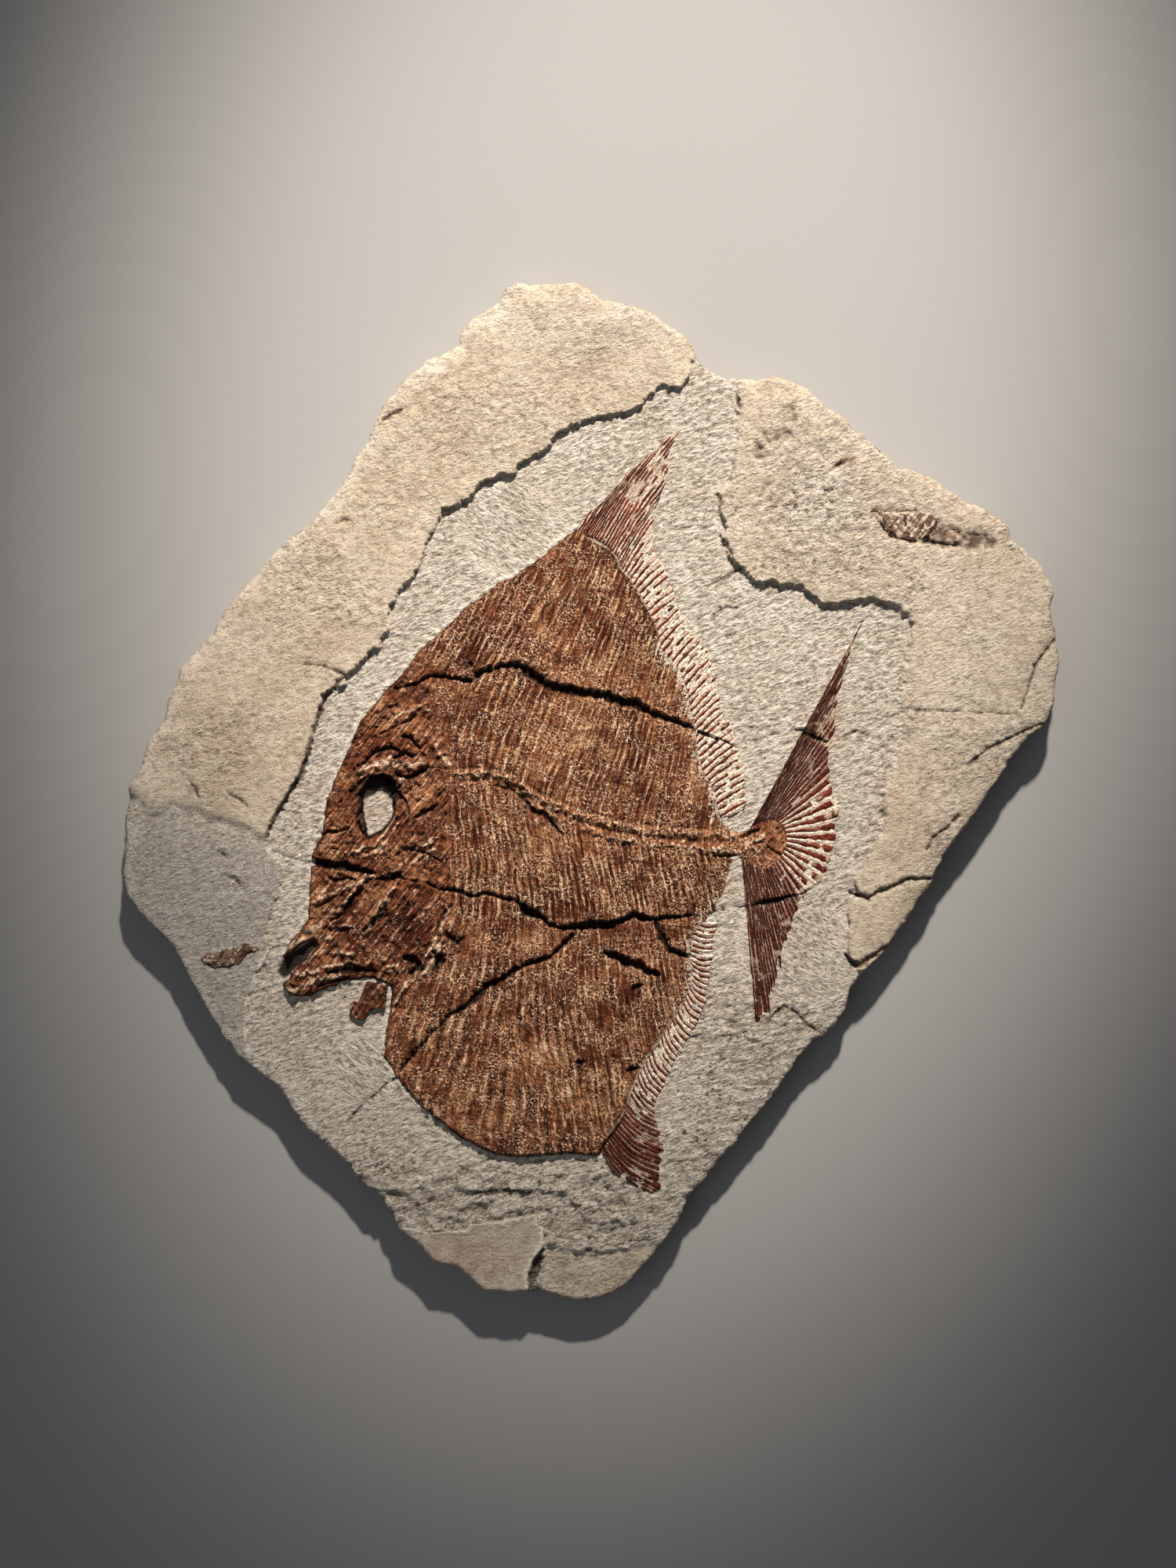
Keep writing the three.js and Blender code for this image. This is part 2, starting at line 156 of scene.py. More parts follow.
SCRAP_OUTLINE = [
    (121, 120.5), (124, 118.8), (132, 118.6), (140, 118.9), (144, 119), (147, 116), (146, 112),
    (144, 108.5), (141, 107.5), (136, 106.5), (131, 107.5), (127, 110), (125, 113), (123.5, 116),
]
# The skull and the shoulder end here; the flank's scale rows start to the right of it.
HEAD_AREA = [
    (-72, 64), (-67, 45), (-61, 20), (-60, 0), (-61, -25), (-58, -49), (-66, -67), (-78, -86), (-84, -97),
    (-100, -97), (-140, -90), (-140, 20), (-100, 64),
]

# ---------- cracks and bones: routes of (x, y, width), with a depth or a height ----------
STONE_CRACKS = [
    (0.5, [(-133, -26, 0.6), (-128, -28, 0.8), (-120, -30, 1.2)]),
    (1.0, [(-122, 54.5, 0.6), (-114, 53.5, 0.9), (-109, 51.5, 1.1), (-105, 50, 1.2)]),
    (0.8, [(-24, 197, 0.4), (-21, 196.4, 0.8), (-17, 197, 0.4)]),
    (0.8, [(-110, 114, 0.5), (-107, 114.6, 0.8), (-105, 116, 0.8), (-102, 115, 0.4)]),
    (0.9, [(-89, 158, 0.8), (-85.5, 160.5, 2), (-80.5, 162.5, 1)]),
    (0.5, [(103.5, 138.5, 0.8), (107, 140, 1.6), (112, 142, 1.2)]),
    (1.5, [(55, 109, 1), (57.5, 105.5, 2), (60, 101, 1.2)]),
    (1.2, [(54, 126.5, 1), (55, 124.5, 2), (55.5, 122, 1)]),
    (1.2, [(62, 170, 1), (62.6, 166.5, 1.8), (63.5, 163, 1)]),
    (1.4, [(121, 117.5, 0.4), (125, 111.5, 1), (129, 108.5, 1.2), (136, 107, 1.4), (145, 106, 1.6),
        (155, 105, 1.2)]),
    (1.4, [(120, 119.6, 0.4), (132, 119.4, 0.7), (141, 119.8, 0.6)]),
    (1.5, [(197.5, 65.5, 0.8), (189, 54, 1.2), (186, 44, 1.2), (183, 35.5, 0.8)]),
    (1.3, [(193.5, 30, 0.8), (180.5, 24, 1.2), (169, 18.5, 1.2), (160, 11.5, 0.6)]),
    (0.8, [(132, 35.5, 0.5), (150, 34.5, 0.7), (182, 33, 0.5)]),
    (1.4, [(156.5, -10, 0.8), (151, -15.5, 1.2), (145, -20, 1.2), (142, -27, 0.6)]),
    (2.0, [(110, -43, 1), (114, -44, 1.8), (118, -45.5, 2), (122, -42.5, 1.6), (128, -40.5, 1.6),
        (135, -37, 1.4), (145, -37, 1.2)]),
    (2.0, [(108, -69, 1), (111, -72.5, 2), (114, -74, 2.2), (120, -70, 2), (126, -66, 1.4)]),
    (1.3, [(-104, -141, 0.6), (-101, -137.5, 1.2), (-98, -134, 0.6), (-91.5, -129, 0.8), (-88, -125, 0.6),
        (-83, -122, 1.2)]),
    (0.8, [(-52, -170.5, 0.6), (-44, -171, 2), (-36, -169.5, 1.8), (-26, -171, 0.8)]),
    (1.0, [(43, -52.5, 1), (57, -50, 0.9)]),
    (0.8, [(76, -97, 0.8), (82, -91, 1.4), (86, -93, 1), (92, -99, 1.3), (98, -103, 0.8)]),
    (0.6, [(118, 24, 0.8), (113, 26, 1.4), (108, 24, 0.6)]),
    (0.7, [(66, 96, 0.6), (62, 94, 1.4), (56, 91, 1.2), (50, 88, 0.6)]),
    (0.5, [(52, 76, 0.6), (58, 79, 1.2), (62, 78, 0.6)]),
    (0.5, [(-172, 6, 0.8), (-168, 1, 1.6), (-167, -2, 0.8)]),
    (0.4, [(-159, -25, 0.8), (-156.5, -26.5, 1.8), (-155, -28, 0.6)]),
    (0.5, [(-156, -35.5, 0.8), (-152, -37, 2), (-149, -40, 1)]),
    (0.6, [(-155, 0, 0.8), (-149, -3.5, 1.4), (-146, -6, 0.8)]),
    # Along the foot of the left step: a groove, darkened as the step's painted shadow.
    (1.2, [(-105, 49, 0.8), (-108, 46, 2), (-112, 42, 1.6), (-115, 36, 2), (-118, 26, 1.2),
        (-121, 15.5, 2.2), (-124, 7, 2.2), (-128, 1, 1.4), (-132, -6, 1.8), (-135.5, -12, 2.2),
        (-138.5, -19, 1)]),
    # Beside the bottom flake's right edge: the flake's painted shadow, cut as a notch.
    (2.2, [(-20.5, -195, 1), (-22.5, -200, 3.4), (-24.5, -206, 4), (-26.5, -212, 1)]),
]
# Pale lines on the lower layer's edges, partly painted highlights on the lit step. They have no depth.
PALE_EDGES = [
    (0, [(-196, -3, 1.2), (-192, -6, 1.4), (-189, -8.5, 1.6), (-184, -8.2, 1.4), (-178, -6.3, 1.2),
        (-170, -8, 1)]),
    (0, [(-139, -23.5, 1.6), (-136, -26.5, 2), (-133, -30, 1.2)]),
    (0, [(-137, -67, 1), (-140, -71, 1.6), (-144, -80, 1), (-147, -90, 1), (-147.5, -102, 1.2),
        (-146, -112, 1.6)]),
]
BODY_CRACKS = [
    (3.0, [(-84, 44, 0.8), (-74, 46, 1.2), (-68, 49.5, 1.6), (-60, 48.5, 1.6), (-50, 47, 1.8),
        (-48, 50.5, 2), (-43, 52, 2.4), (-38, 53.5, 1.8), (-33, 54, 2.6), (-30, 53, 3.4), (-25, 49.5, 3.8),
        (-20, 46, 3.8), (-14, 44.5, 4), (-5, 42.5, 4), (4.5, 41, 4), (13.5, 38.5, 3.8), (20, 37, 3.6),
        (24, 34, 3), (32, 31.5, 2.6), (40, 28.5, 2), (47, 25, 1.6)]),
    (3.2, [(-121, -29, 3.6), (-112, -31, 4), (-105, -32, 4), (-97, -33.6, 3), (-92, -34.5, 1.2)]),
    (2.4, [(-89.5, -37, 1.6), (-87, -36.5, 2.8), (-83, -35.5, 2.6), (-79, -37.3, 1), (-70, -38.5, 0.8),
        (-65, -41.5, 1), (-59, -41.5, 1.6), (-50, -44.5, 2), (-44, -43, 1.8), (-38, -45, 1.6),
        (-31.5, -46.5, 2.2)]),
    (3.6, [(-31, -47, 2), (-27, -51, 5), (-24, -52, 4), (-20.5, -54, 2), (-18.5, -56, 2.2), (-12, -58, 2.6),
        (-6, -57.5, 3.2), (0, -57, 4.4), (8.5, -57, 3), (13, -54.5, 2.6), (18.5, -52.5, 2.8),
        (24, -54, 2.6), (27, -54, 2), (35, -53.5, 1.2), (43, -52.5, 1)]),
    (2.4, [(27, -54, 2), (30, -61, 3), (33, -67, 3), (40, -70, 2.4), (43, -70.5, 1.6)]),
    (2.6, [(-8, -61, 2), (-13, -66, 2.2), (-16, -69, 2), (-20, -71, 2), (-26, -73, 2), (-33, -76, 2.2),
        (-38, -79.5, 2), (-45, -83, 3), (-48, -87, 4), (-54, -92, 2.2), (-60, -95, 2), (-68, -103, 1.4),
        (-75, -111, 1.6), (-82, -119.5, 2)]),
    (3.4, [(6, -68.5, 1.6), (10, -70, 3.4), (13.5, -71.5, 4), (20, -73.5, 4), (25, -76.5, 3.6),
        (29, -77.5, 1.6)]),
    (2.4, [(17.5, -84, 1), (19.5, -83.2, 2.4), (22, -82, 1)]),
    (2.0, [(-7, -115, 1), (-4.5, -115.2, 2), (-2, -114.6, 0.8)]),
    (2.0, [(15, -119, 1), (17.5, -118, 2), (20, -117.8, 0.8)]),
    (1.4, [(-41, 3, 1.2), (-35.5, 1.5, 1.4), (-30, -1.5, 1.4), (-25, -7.5, 2), (-19, -10.5, 2.4),
        (-16, -14, 1.6), (-12, -18, 1)]),
    (2.0, [(-54, 52, 0.8), (-52, 55, 2), (-50, 53, 1)]),
]
FIN_CRACKS = [
    (1.8, [(87, 27, 0.8), (90.5, 25.5, 2.2), (94.5, 23.5, 2), (97, 22.5, 1.4), (101, 21, 0.6)]),
    (1.8, [(55, -49.5, 0.6), (66, -48.8, 0.7), (70, -48, 1.2), (72, -47.5, 2.4), (79, -46.3, 2.4),
        (84, -44.8, 1.2), (90, -43.5, 0.9), (93, -41.5, 0.5)]),
    (1.2, [(46, 25.5, 1.6), (52.5, 23, 1.4), (57, 21.5, 1), (63, 18.5, 0.5)]),
]
GROOVES = [
    (2.4, [(-99.5, 11, 0.8), (-96, 12.6, 1.6), (-93.5, 15.6, 2), (-90, 18, 1.8), (-85, 18.8, 1.6),
        (-82, 17.8, 1)]),
    (2.6, [(-80.5, 23.6, 1.4), (-77, 23.2, 2), (-75.5, 21, 2), (-73, 18.4, 1.2)]),
    (2.4, [(-84.5, 14.6, 1), (-82, 15, 2), (-79, 16.8, 1.8), (-76.5, 15, 1.6), (-75, 15.6, 0.8)]),
    (2.4, [(-82, 7, 1.2), (-78.5, 6, 1.8), (-75, 7, 2.2), (-72, 9, 2), (-69, 10.5, 1)]),
    (2.2, [(-84.5, 1, 2), (-82.5, -1.6, 3), (-79.6, -2.6, 1.4), (-78, -6, 0.8), (-77.4, -10, 0.7)]),
    (2.4, [(-75, -11, 1), (-72, -9.6, 2.2), (-68, -7, 2), (-65.5, -5.6, 1)]),
    (2.8, [(-94, -37, 1), (-97, -39.5, 2), (-99.5, -43.5, 3), (-102.5, -47, 2.8), (-105.2, -51.8, 1.6),
        (-111, -55, 0.8)]),
    (2.2, [(-115, -19, 0.8), (-112.5, -17, 1.6), (-108, -17.2, 2), (-103.5, -15.6, 1)]),
    (2.0, [(-98.5, -9, 2), (-99, -13, 2.4), (-97.4, -17.5, 1.8)]),
    (1.8, [(-103, 0, 1.4), (-100.5, 1.6, 2.2), (-97.5, 4.6, 1.8), (-95, 6.8, 1)]),
    (2.8, [(-79.5, -70.5, 1.6), (-75.5, -71.5, 4), (-73, -74.5, 3.4), (-77, -77, 1.6)]),
    (2.8, [(-67.5, -68, 1.6), (-64.5, -71.5, 4.6), (-66.5, -75, 3), (-68, -78, 1)]),
    (1.4, [(-63, -30, 0.8), (-70, -26, 1.2), (-79, -24, 1.6), (-83, -27, 0.8)]),
    (1.8, [(-111, -58.6, 1.4), (-108.5, -58.2, 2), (-104.5, -58.6, 1)]),
    (1.8, [(-112, -77, 1.2), (-106, -76, 2.4), (-99, -75.8, 2.4), (-92, -76.5, 1.4)]),
    (1.6, [(-116, -82.8, 1), (-109, -80.4, 1.6), (-103, -79, 1)]),
    (1.2, [(-118.5, -50, 1), (-113, -47, 1.4), (-107, -43.5, 0.8)]),
    (1.8, [(-97, -59.5, 1.2), (-93.5, -56.5, 2.2), (-89.5, -52.5, 2.6), (-87, -48, 1)]),
    (1.6, [(-112.5, -36, 0.8), (-108, -38, 1.6), (-104, -36.5, 1), (-100, -37.5, 0.8)]),
    (1.8, [(-62, -51, 2.4), (-64.5, -55, 1.6), (-66, -59, 0.8)]),
    (1.8, [(-61, -61, 3), (-57, -64, 2.4), (-54, -62, 1)]),
    (1.2, [(-74, 32.6, 0.8), (-77.5, 30.4, 1.4), (-83, 28, 0.8), (-90, 24.5, 0.8)]),
    (1.2, [(-99, 23.4, 0.8), (-102, 20, 1.2), (-105.5, 15, 0.8)]),
    (1.4, [(64, -19.5, 1), (67, -18, 2), (71, -16.5, 1.4)]),
    (1.2, [(75, -23.4, 0.8), (78.5, -25.6, 1.3), (82.5, -28, 0.8)]),
    (0.9, [(76, -17.4, 0.6), (80, -15.4, 0.9), (84.5, -13.8, 0.6)]),
    (1.2, [(52, -27, 0.8), (58, -27.4, 1.4), (64, -28.4, 1)]),
]
BONES = [
    (1.0, [(-99, 8.5, 2.4), (-95, 10.8, 4), (-89, 12.6, 5.6), (-83, 11.5, 5), (-77, 11.6, 4.4),
        (-71, 12.4, 3.4)]),
    (0.7, [(-84, 5.4, 2), (-80.5, 5.6, 2.6), (-79.6, 2.6, 2.2)]),
    (1.1, [(-104, -26, 1), (-98, -24.2, 1.5), (-92.5, -22.6, 1.7), (-88.5, -19, 1.7), (-85.8, -14.6, 1.6),
        (-83, -10, 1.2)]),
    (0.9, [(-92, -29, 1), (-88.5, -24, 1.4), (-85, -18, 1.4), (-82, -13, 1.2)]),
    (0.8, [(-97, -27.5, 1), (-92, -25.4, 1.3), (-88, -22, 1.2)]),
    (1.0, [(-65.5, -19.5, 1.2), (-70, -21.6, 1.4), (-76, -26.4, 1.4), (-82, -31.6, 1.5),
        (-86.5, -36, 1.2)]),
    (0.7, [(-66, -24, 1), (-73, -27.6, 1.2), (-80, -33, 1.2)]),
    (1.1, [(-82.5, -39, 1.2), (-86, -42.6, 1.6), (-90, -48.6, 1.6), (-93.6, -55, 1.4), (-96, -61, 1)]),
    (0.8, [(-84.5, -42.5, 1), (-88.6, -50, 1.2), (-92, -57, 1)]),
    (1.0, [(-92, -36, 2), (-99, -38.6, 2.8), (-107, -42, 3), (-114, -45, 2.4), (-119, -47, 1.6)]),
    (1.0, [(-95.5, -38.6, 1.2), (-100.5, -42, 1.6), (-106.5, -48.6, 1.8), (-113, -53.4, 1.8)]),
    (0.7, [(-103, -37.5, 1), (-110, -40.4, 1.4), (-117, -43.2, 1)]),
    (1.1, [(-113.5, -55, 4), (-119, -58.8, 5), (-124.5, -63, 5), (-129.5, -68, 3.4)]),
    (0.8, [(-110, -58.8, 1), (-105.6, -56.5, 1.3), (-101.5, -57.3, 1.2), (-98.6, -60.2, 0.9)]),
    (0.9, [(-90, -68.4, 0.9), (-87.2, -73, 1.4), (-83.5, -75, 1.5), (-79.2, -72, 1.2), (-76, -70.6, 0.8)]),
    (0.9, [(-90.4, -79.4, 0.8), (-87.2, -76.5, 1.3), (-80, -75.5, 1.2), (-75.5, -73.2, 1)]),
    (1.4, [(-60.5, -50, 1), (-63.4, -57, 1.8), (-66.8, -64, 1.8), (-70.5, -71, 1.8), (-72.6, -75.4, 1.8),
        (-76.8, -80, 1.8), (-82, -86.5, 1.8), (-85, -94, 1.2)]),
    (1.2, [(-58.2, -53.5, 1), (-61, -60, 1.6), (-64.6, -66.5, 1.8), (-68.4, -72.6, 1.6), (-71.6, -78, 1.6),
        (-76.5, -85, 1.6), (-80.5, -91, 1.2)]),
    (0.8, [(-67, 21, 3), (-63.5, 16.5, 3.4), (-60, 11.5, 2.4)]),
    (0.7, [(-84, 31.5, 1), (-79, 33.8, 1.8), (-73, 36, 1.6), (-68.5, 34.4, 2)]),
    (1.2, [(-131, -82.4, 4), (-127.5, -84, 4.4), (-122, -82.4, 3.4), (-115, -79.4, 3), (-107, -78.2, 2)]),
    (1.0, [(-127, -77, 3), (-123.6, -77.6, 3), (-118, -76.6, 2.6), (-112, -74, 2.4), (-104, -72.6, 2),
        (-96, -73, 1.4)]),
    (0.9, [(-122, -72.6, 2.6), (-118, -69.2, 3), (-114, -68, 3), (-108, -68.5, 2.6), (-101, -69.2, 1.6)]),
    (0.7, [(-116.5, -62, 2), (-112, -61.4, 2.4), (-108, -64.5, 2)]),
    (0.8, [(60, -18.6, 1.2), (66, -22, 1.8), (71, -20.6, 2), (75, -17.8, 1.6), (79.5, -15.6, 1)]),
    (0.6, [(66, -23, 1.2), (72, -25.4, 1.4), (76.5, -29.4, 1)]),
    (0.8, [(38, -25.6, 1), (46, -25, 1.6), (55, -25, 1.8), (64, -25.8, 1.4)]),
]

# ---------- soft patches: (x, y, half width, half height, amount) ----------
# Darker and more golden bone, and iron stains in the stone; the one on the bottom flake is partly painted
# shade.
DARK_PATCHES = [
    (-77, -56, 13, 12, 0.95), (-103, -78, 14, 5, 0.9), (-74, -73, 9, 6, 0.9), (-62, -69, 6, 7, 0.7),
    (-90, -62, 8, 7, 0.3), (-15, -51, 27, 6, 0.55), (10, -66, 12, 6, 0.45), (35, -62, 9, 8, 0.4),
    (-62, 28, 14, 14, 0.3), (-72, 42, 12, 8, 0.35), (-42, -88, 14, 8, 0.4), (-100, -6, 7, 10, 0.35),
    (-70, -20, 9, 16, 0.35), (-55, -40, 14, 5, 0.4), (-45, -150, 40, 5, 0.4), (0, -150, 14, 6, 0.35),
    (-60, 62, 30, 7, 0.35), (-15, 104, 14, 8, 0.3), (-97, -30, 12, 4, 0.4), (-96, 26, 8, 10, 0.3),
]
GOLDEN_PATCHES = [
    (20, -50, 16, 9, 0.7), (-5, -128, 26, 14, 0.5), (24, -73, 9, 6, 0.8), (-20, 22, 24, 10, 0.4),
    (-113, -40, 10, 7, 0.6), (-25, -62, 10, 6, 0.6), (40, -76, 8, 8, 0.5), (-75, 26, 9, 6, 0.5),
    (-118, -61, 8, 6, 0.9), (10, 58, 10, 14, 0.3), (8, -145, 6, 6, 0.8), (-108, -13, 9, 8, 0.7),
    (-12, 20, 34, 34, 0.35), (78, -21, 9, 12, 0.4),
]
RUST_AND_SHADE_PATCHES = [
    (102, 31, 3.4, 12, 0.9), (92, -60, 6, 14, 0.3), (136, 113, 15, 5, 0.75), (152, 109, 14, 5, 0.5),
    # The patch at (-62, -201) on the bottom flake is partly painted shade, darker towards the bottom.
    (97.5, 104, 1.8, 1, 1), (137.5, 96.5, 1.6, 1.6, 1), (108, 140.5, 5, 2, 1), (-62, -201, 36, 13, 0.4),
    (-90, -7, 8, 10, 0.35), (46, 4, 10, 16, 0.35), (26, -134, 6, 8, 0.3), (60, -40, 6, 8, 0.3),
]
# Where the fins' bone has come away and bare stone shows.
BARE_FIN_PATCHES = [
    (19.5, 129, 3.5, 5, 1), (29, 139.5, 5, 7, 1), (103, 36, 4, 7, 0.7), (24, -148, 4, 6, 0.6),
]
# Where the step between the layers is a slope, where the upper layers are pitted, scraped or bleached, and
# where they are hollowed: beside the scrap of bone, and in smaller scars.
SOFT_STEPS = [(130, 25, 20, 52, 1), (58, 160, 8, 20, 0.7)]
PITTED_PATCHES = [(-35, 155, 48, 24, 1), (-120, 60, 16, 26, 0.5), (-88, 120, 12, 14, 0.6)]
SCRAPED_PATCHES = [(98, 114, 34, 24, 1), (88, 146, 18, 20, 0.8), (128, 52, 9, 24, 0.6)]
BLEACHED_PATCHES = [(100, 125, 38, 36, 0.7), (150, 60, 50, 70, 0.35), (0, 200, 40, 20, 0.35)]
CREVICE = [(151, 108.5, 10, 3.2, 1.5), (163, 106.5, 8, 3.2, 1.5), (145, 112, 4, 4, 1.3)]
SCARS = [(74, 144, 4, 6, 0.75), (81, 152, 6, 3, 0.75), (86, 162, 3, 6, 0.6), (64, 118, 2, 8, 0.4)]
# Where the engraving tool's strokes fall to the right.
TURNED_PATCHES = [
    (-34, 112, 26, 24, 1), (88, -70, 30, 24, 1), (-98, -118, 16, 20, 0.9), (60, 110, 12, 30, 0.6),
]
# The round bone plate at the tail's root.
TAIL_PLATE = [(79, -21, 8, 11, 1)]

# ---------- lines of the fish ----------
# The backbone's route.
SPINE = [
    (-62, 9), (-57, 5), (-45, 6), (-33, 3), (-25, -3), (-15, -8), (-5, -12), (5, -15), (20, -18), (40, -20),
    (66, -21),
]
# Lines that the scale rows follow, each with its row number, from the back down to the belly.
ROW_GUIDES = [
    (-5, [(-58, 72), (-68, 54), (-76, 38), (-84, 22)]),
    (0, [(-36, 88), (-46, 68), (-56, 48), (-64, 28), (-66, 5), (-64, -20), (-64, -45), (-72, -70),
        (-80, -95), (-86, -115)]),
    (5, [(-12, 102), (-24, 80), (-37, 54), (-46, 30), (-50, 7), (-48, -20), (-47, -50), (-50, -80),
        (-58, -110), (-66, -136)]),
    (10, [(4, 104), (-6, 80), (-17, 53), (-27, 28), (-35, 4), (-32, -20), (-30, -50), (-32, -80),
        (-34, -110), (-36, -152)]),
    (15.5, [(14, 92), (5, 66), (-4, 42), (-12, 18), (-20, -4), (-16, -28), (-13, -55), (-13, -85),
        (-9, -112), (-3, -150)]),
    (21, [(23, 78), (15, 55), (8, 32), (1, 10), (-5, -11), (-1, -30), (3, -55), (4, -85), (8, -115),
        (11, -140)]),
    (26.5, [(30, 62), (25, 44), (20, 24), (15, 4), (10, -16), (14, -35), (18, -55), (20, -80), (23, -100),
        (26, -112)]),
    (32, [(40, 47), (37, 34), (33, 16), (29, -2), (25, -19), (28, -38), (31, -55), (34, -75), (38, -92)]),
    (37.5, [(46, 16), (45, 6), (43, -8), (40, -20), (43, -34), (47, -50), (48, -66)]),
    (42, [(55, -5), (54, -12), (52, -21), (55, -30), (57, -40)]),
]

# Stations of the fins' rays: (root x, root y, tip x, tip y, web), from the front ray back. Web 1 is a solid
# sheet of bone between the rays, and 0 leaves the stone showing there.
DORSAL_RAYS = [
    (-7, 110.5, -2, 118.5, 0.2), (-4, 110.5, 4, 123, 0.8), (-1.5, 110, 15.5, 135.5, 0.9),
    (1, 109, 25.5, 145, 0.8), (3.5, 107.6, 34.5, 153, 0.6), (5.5, 106.5, 39, 156, 0.5),
    (7.5, 105, 35.5, 148, 0.6), (9.5, 103.3, 34, 139, 0.6), (11.5, 101, 32, 131, 0.5),
    (12.8, 98, 28.5, 123, 0.4), (14, 95, 26, 114, 0.3), (17, 91.5, 26.5, 104, 0.1), (20.5, 87, 31, 97, 0),
    (24, 81, 33.5, 89, 0), (26.5, 76, 36, 83, 0), (29.3, 70, 38, 78.5, 0), (31, 61, 40.5, 71.5, 0),
    (35, 56.5, 45, 67.5, 0), (39.5, 51.5, 49, 62, 0), (42, 44, 52, 54.5, 0), (44, 35, 54, 45, 0),
    (45.5, 26, 56, 35.5, 0), (46.5, 17, 59.5, 27.5, 0), (49, 9, 62.5, 19.5, 0), (53, 2.5, 65, 10.5, 0),
    (54.5, -4, 66, 3, 0), (57, -12, 66.5, -7, 0.1),
]
ANAL_RAYS = [
    (4.5, -152.5, 23, -170.5, 0.9), (6, -150.5, 30, -170.5, 1), (8, -147.5, 31, -165, 1),
    (10, -145, 31, -160, 1), (12, -142, 31, -155, 0.9), (13.5, -139.5, 31, -151, 0.8),
    (15, -137, 30, -147, 0.7), (16, -133, 28.5, -142, 0.5), (18, -127.5, 27, -137.5, 0.3),
    (20.5, -122, 28, -133, 0.1), (22.5, -118, 29.5, -128.5, 0), (25.5, -113, 32, -123.5, 0),
    (29, -108, 35, -118, 0), (33.5, -100.5, 39, -110.5, 0), (37, -95.5, 43, -103, 0),
    (40.5, -90, 46.5, -96.5, 0), (43.5, -83, 49.5, -88, 0), (44.5, -76, 51, -78.5, 0),
    (44, -69, 52, -70, 0), (45.5, -61, 52.5, -62, 0), (49, -54.5, 55, -54.5, 0),
]
TAIL_RAYS = [
    (66.5, -18, 116, 73.5, 0.9), (67.2, -16.5, 115, 71, 1), (69.7, -13.3, 112, 61.5, 1),
    (71.5, -12.2, 108, 50, 1), (73.3, -11.5, 106, 42, 0.9), (75, -11, 104.5, 33.5, 0.8),
    (76.5, -10.6, 103.5, 26, 0.8), (78, -10.6, 102.5, 19.5, 0.9), (79.5, -11.2, 102.5, 12, 0.7),
    (81, -12.3, 104, 5, 0.3), (82.4, -13.6, 105, -2, 0), (83.5, -15.3, 105.5, -9, 0),
    (84.3, -17.5, 106, -15.5, 0), (84.6, -19.7, 105, -21, 0), (84.6, -22, 103.5, -27, 0),
    (84, -24.5, 101.5, -32.5, 0), (83, -27, 98, -38.5, 0.1), (81.4, -29.3, 92.5, -42.5, 0.2),
    (79.4, -31.3, 88.5, -47, 0.6), (77.3, -32.8, 87, -53, 0.9), (75.2, -33.7, 85, -60, 1),
    (73, -34, 83, -66.5, 1), (71, -33.2, 81, -73, 1), (69.3, -32.2, 79.5, -80, 1),
    (67.6, -31.2, 77.5, -88.5, 1), (66, -30, 75.5, -97, 1), (64.2, -29.3, 70, -98.5, 1),
]


# ---------- smooth random fields ----------
def smooth(value, start, end):
    """0 before start, 1 after end, and an even turn between them."""
    share = np.clip((value - start) / (end - start), 0, 1)
    return share * share * (3 - 2 * share)


def hump(value, width):
    """1 at zero, fading away on both sides over a width."""
    return np.exp(-((value / width) ** 2))


def corner_value(column, row, seed):
    """A fixed random value from 0 to 1 for each corner of a lattice."""
    mixed = (column * 374761393 + row * 668265263 + seed * 974634777) & 0xFFFFFFFF
    mixed = ((mixed ^ (mixed >> 13)) * 1274126177) & 0xFFFFFFFF
    return ((mixed ^ (mixed >> 16)) & 0xFFFF) / 65535.0


def noise(x, y, size, seed):
    """Smooth noise from about -1 to 1, with features of one size."""
    x, y = x / size, y / size
    column, row = np.floor(x).astype(np.int64), np.floor(y).astype(np.int64)
    fx, fy = x - column, y - row
    total = 0
    for right in (0, 1):
        for up in (0, 1):
            turn = 2 * np.pi * corner_value(column + right, row + up, seed)
            pull = np.cos(turn) * (fx - right) + np.sin(turn) * (fy - up)
            across = smooth(fx, 0, 1) if right else 1 - smooth(fx, 0, 1)
            along = smooth(fy, 0, 1) if up else 1 - smooth(fy, 0, 1)
            total = total + pull * across * along
    return total * 1.6


def layered_noise(x, y, size, seed, layers=4):
    """Noise with finer and fainter layers on top."""
    total, weight = 0, 1
    for layer in range(layers):
        total = total + weight * noise(x + 37.7 * layer, y - 19.3 * layer, size / 2**layer, seed + layer)
        weight *= 0.5
    return total


def grains(x, y, size, seed):
    """Scattered round-backed grains, each with its own height from 0 to 1, and gaps at 0 between them."""
    x, y = x / size, y / size
    column, row = np.floor(x).astype(np.int64), np.floor(y).astype(np.int64)
    nearest = np.full(np.shape(x), 9.0)
    value = np.zeros(np.shape(x))
    for right in (-1, 0, 1):
        for up in (-1, 0, 1):
            px = column + right + corner_value(column + right, row + up, seed)
            py = row + up + corner_value(column + right, row + up, seed + 71)
            gap = np.hypot(x - px, y - py)
            closer = gap < nearest
            nearest = np.where(closer, gap, nearest)
            value = np.where(closer, corner_value(column + right, row + up, seed + 5), value)
    return np.clip(1 - 1.25 * nearest, 0, 1) * (0.25 + 0.75 * value)


def strokes(x, y, degrees, length, width, seed):
    """Short marks along one direction, from about -1 to 1."""
    angle = math.radians(degrees)
    sway = 1.5 * noise(x, y, 22, seed + 3)
    along = (x * math.cos(angle) + y * math.sin(angle)) / length
    across = (y * math.cos(angle) - x * math.sin(angle) + sway) / width
    return noise(along, across, 1, seed) + 0.5 * noise(along * 2, across * 2, 1, seed + 1)


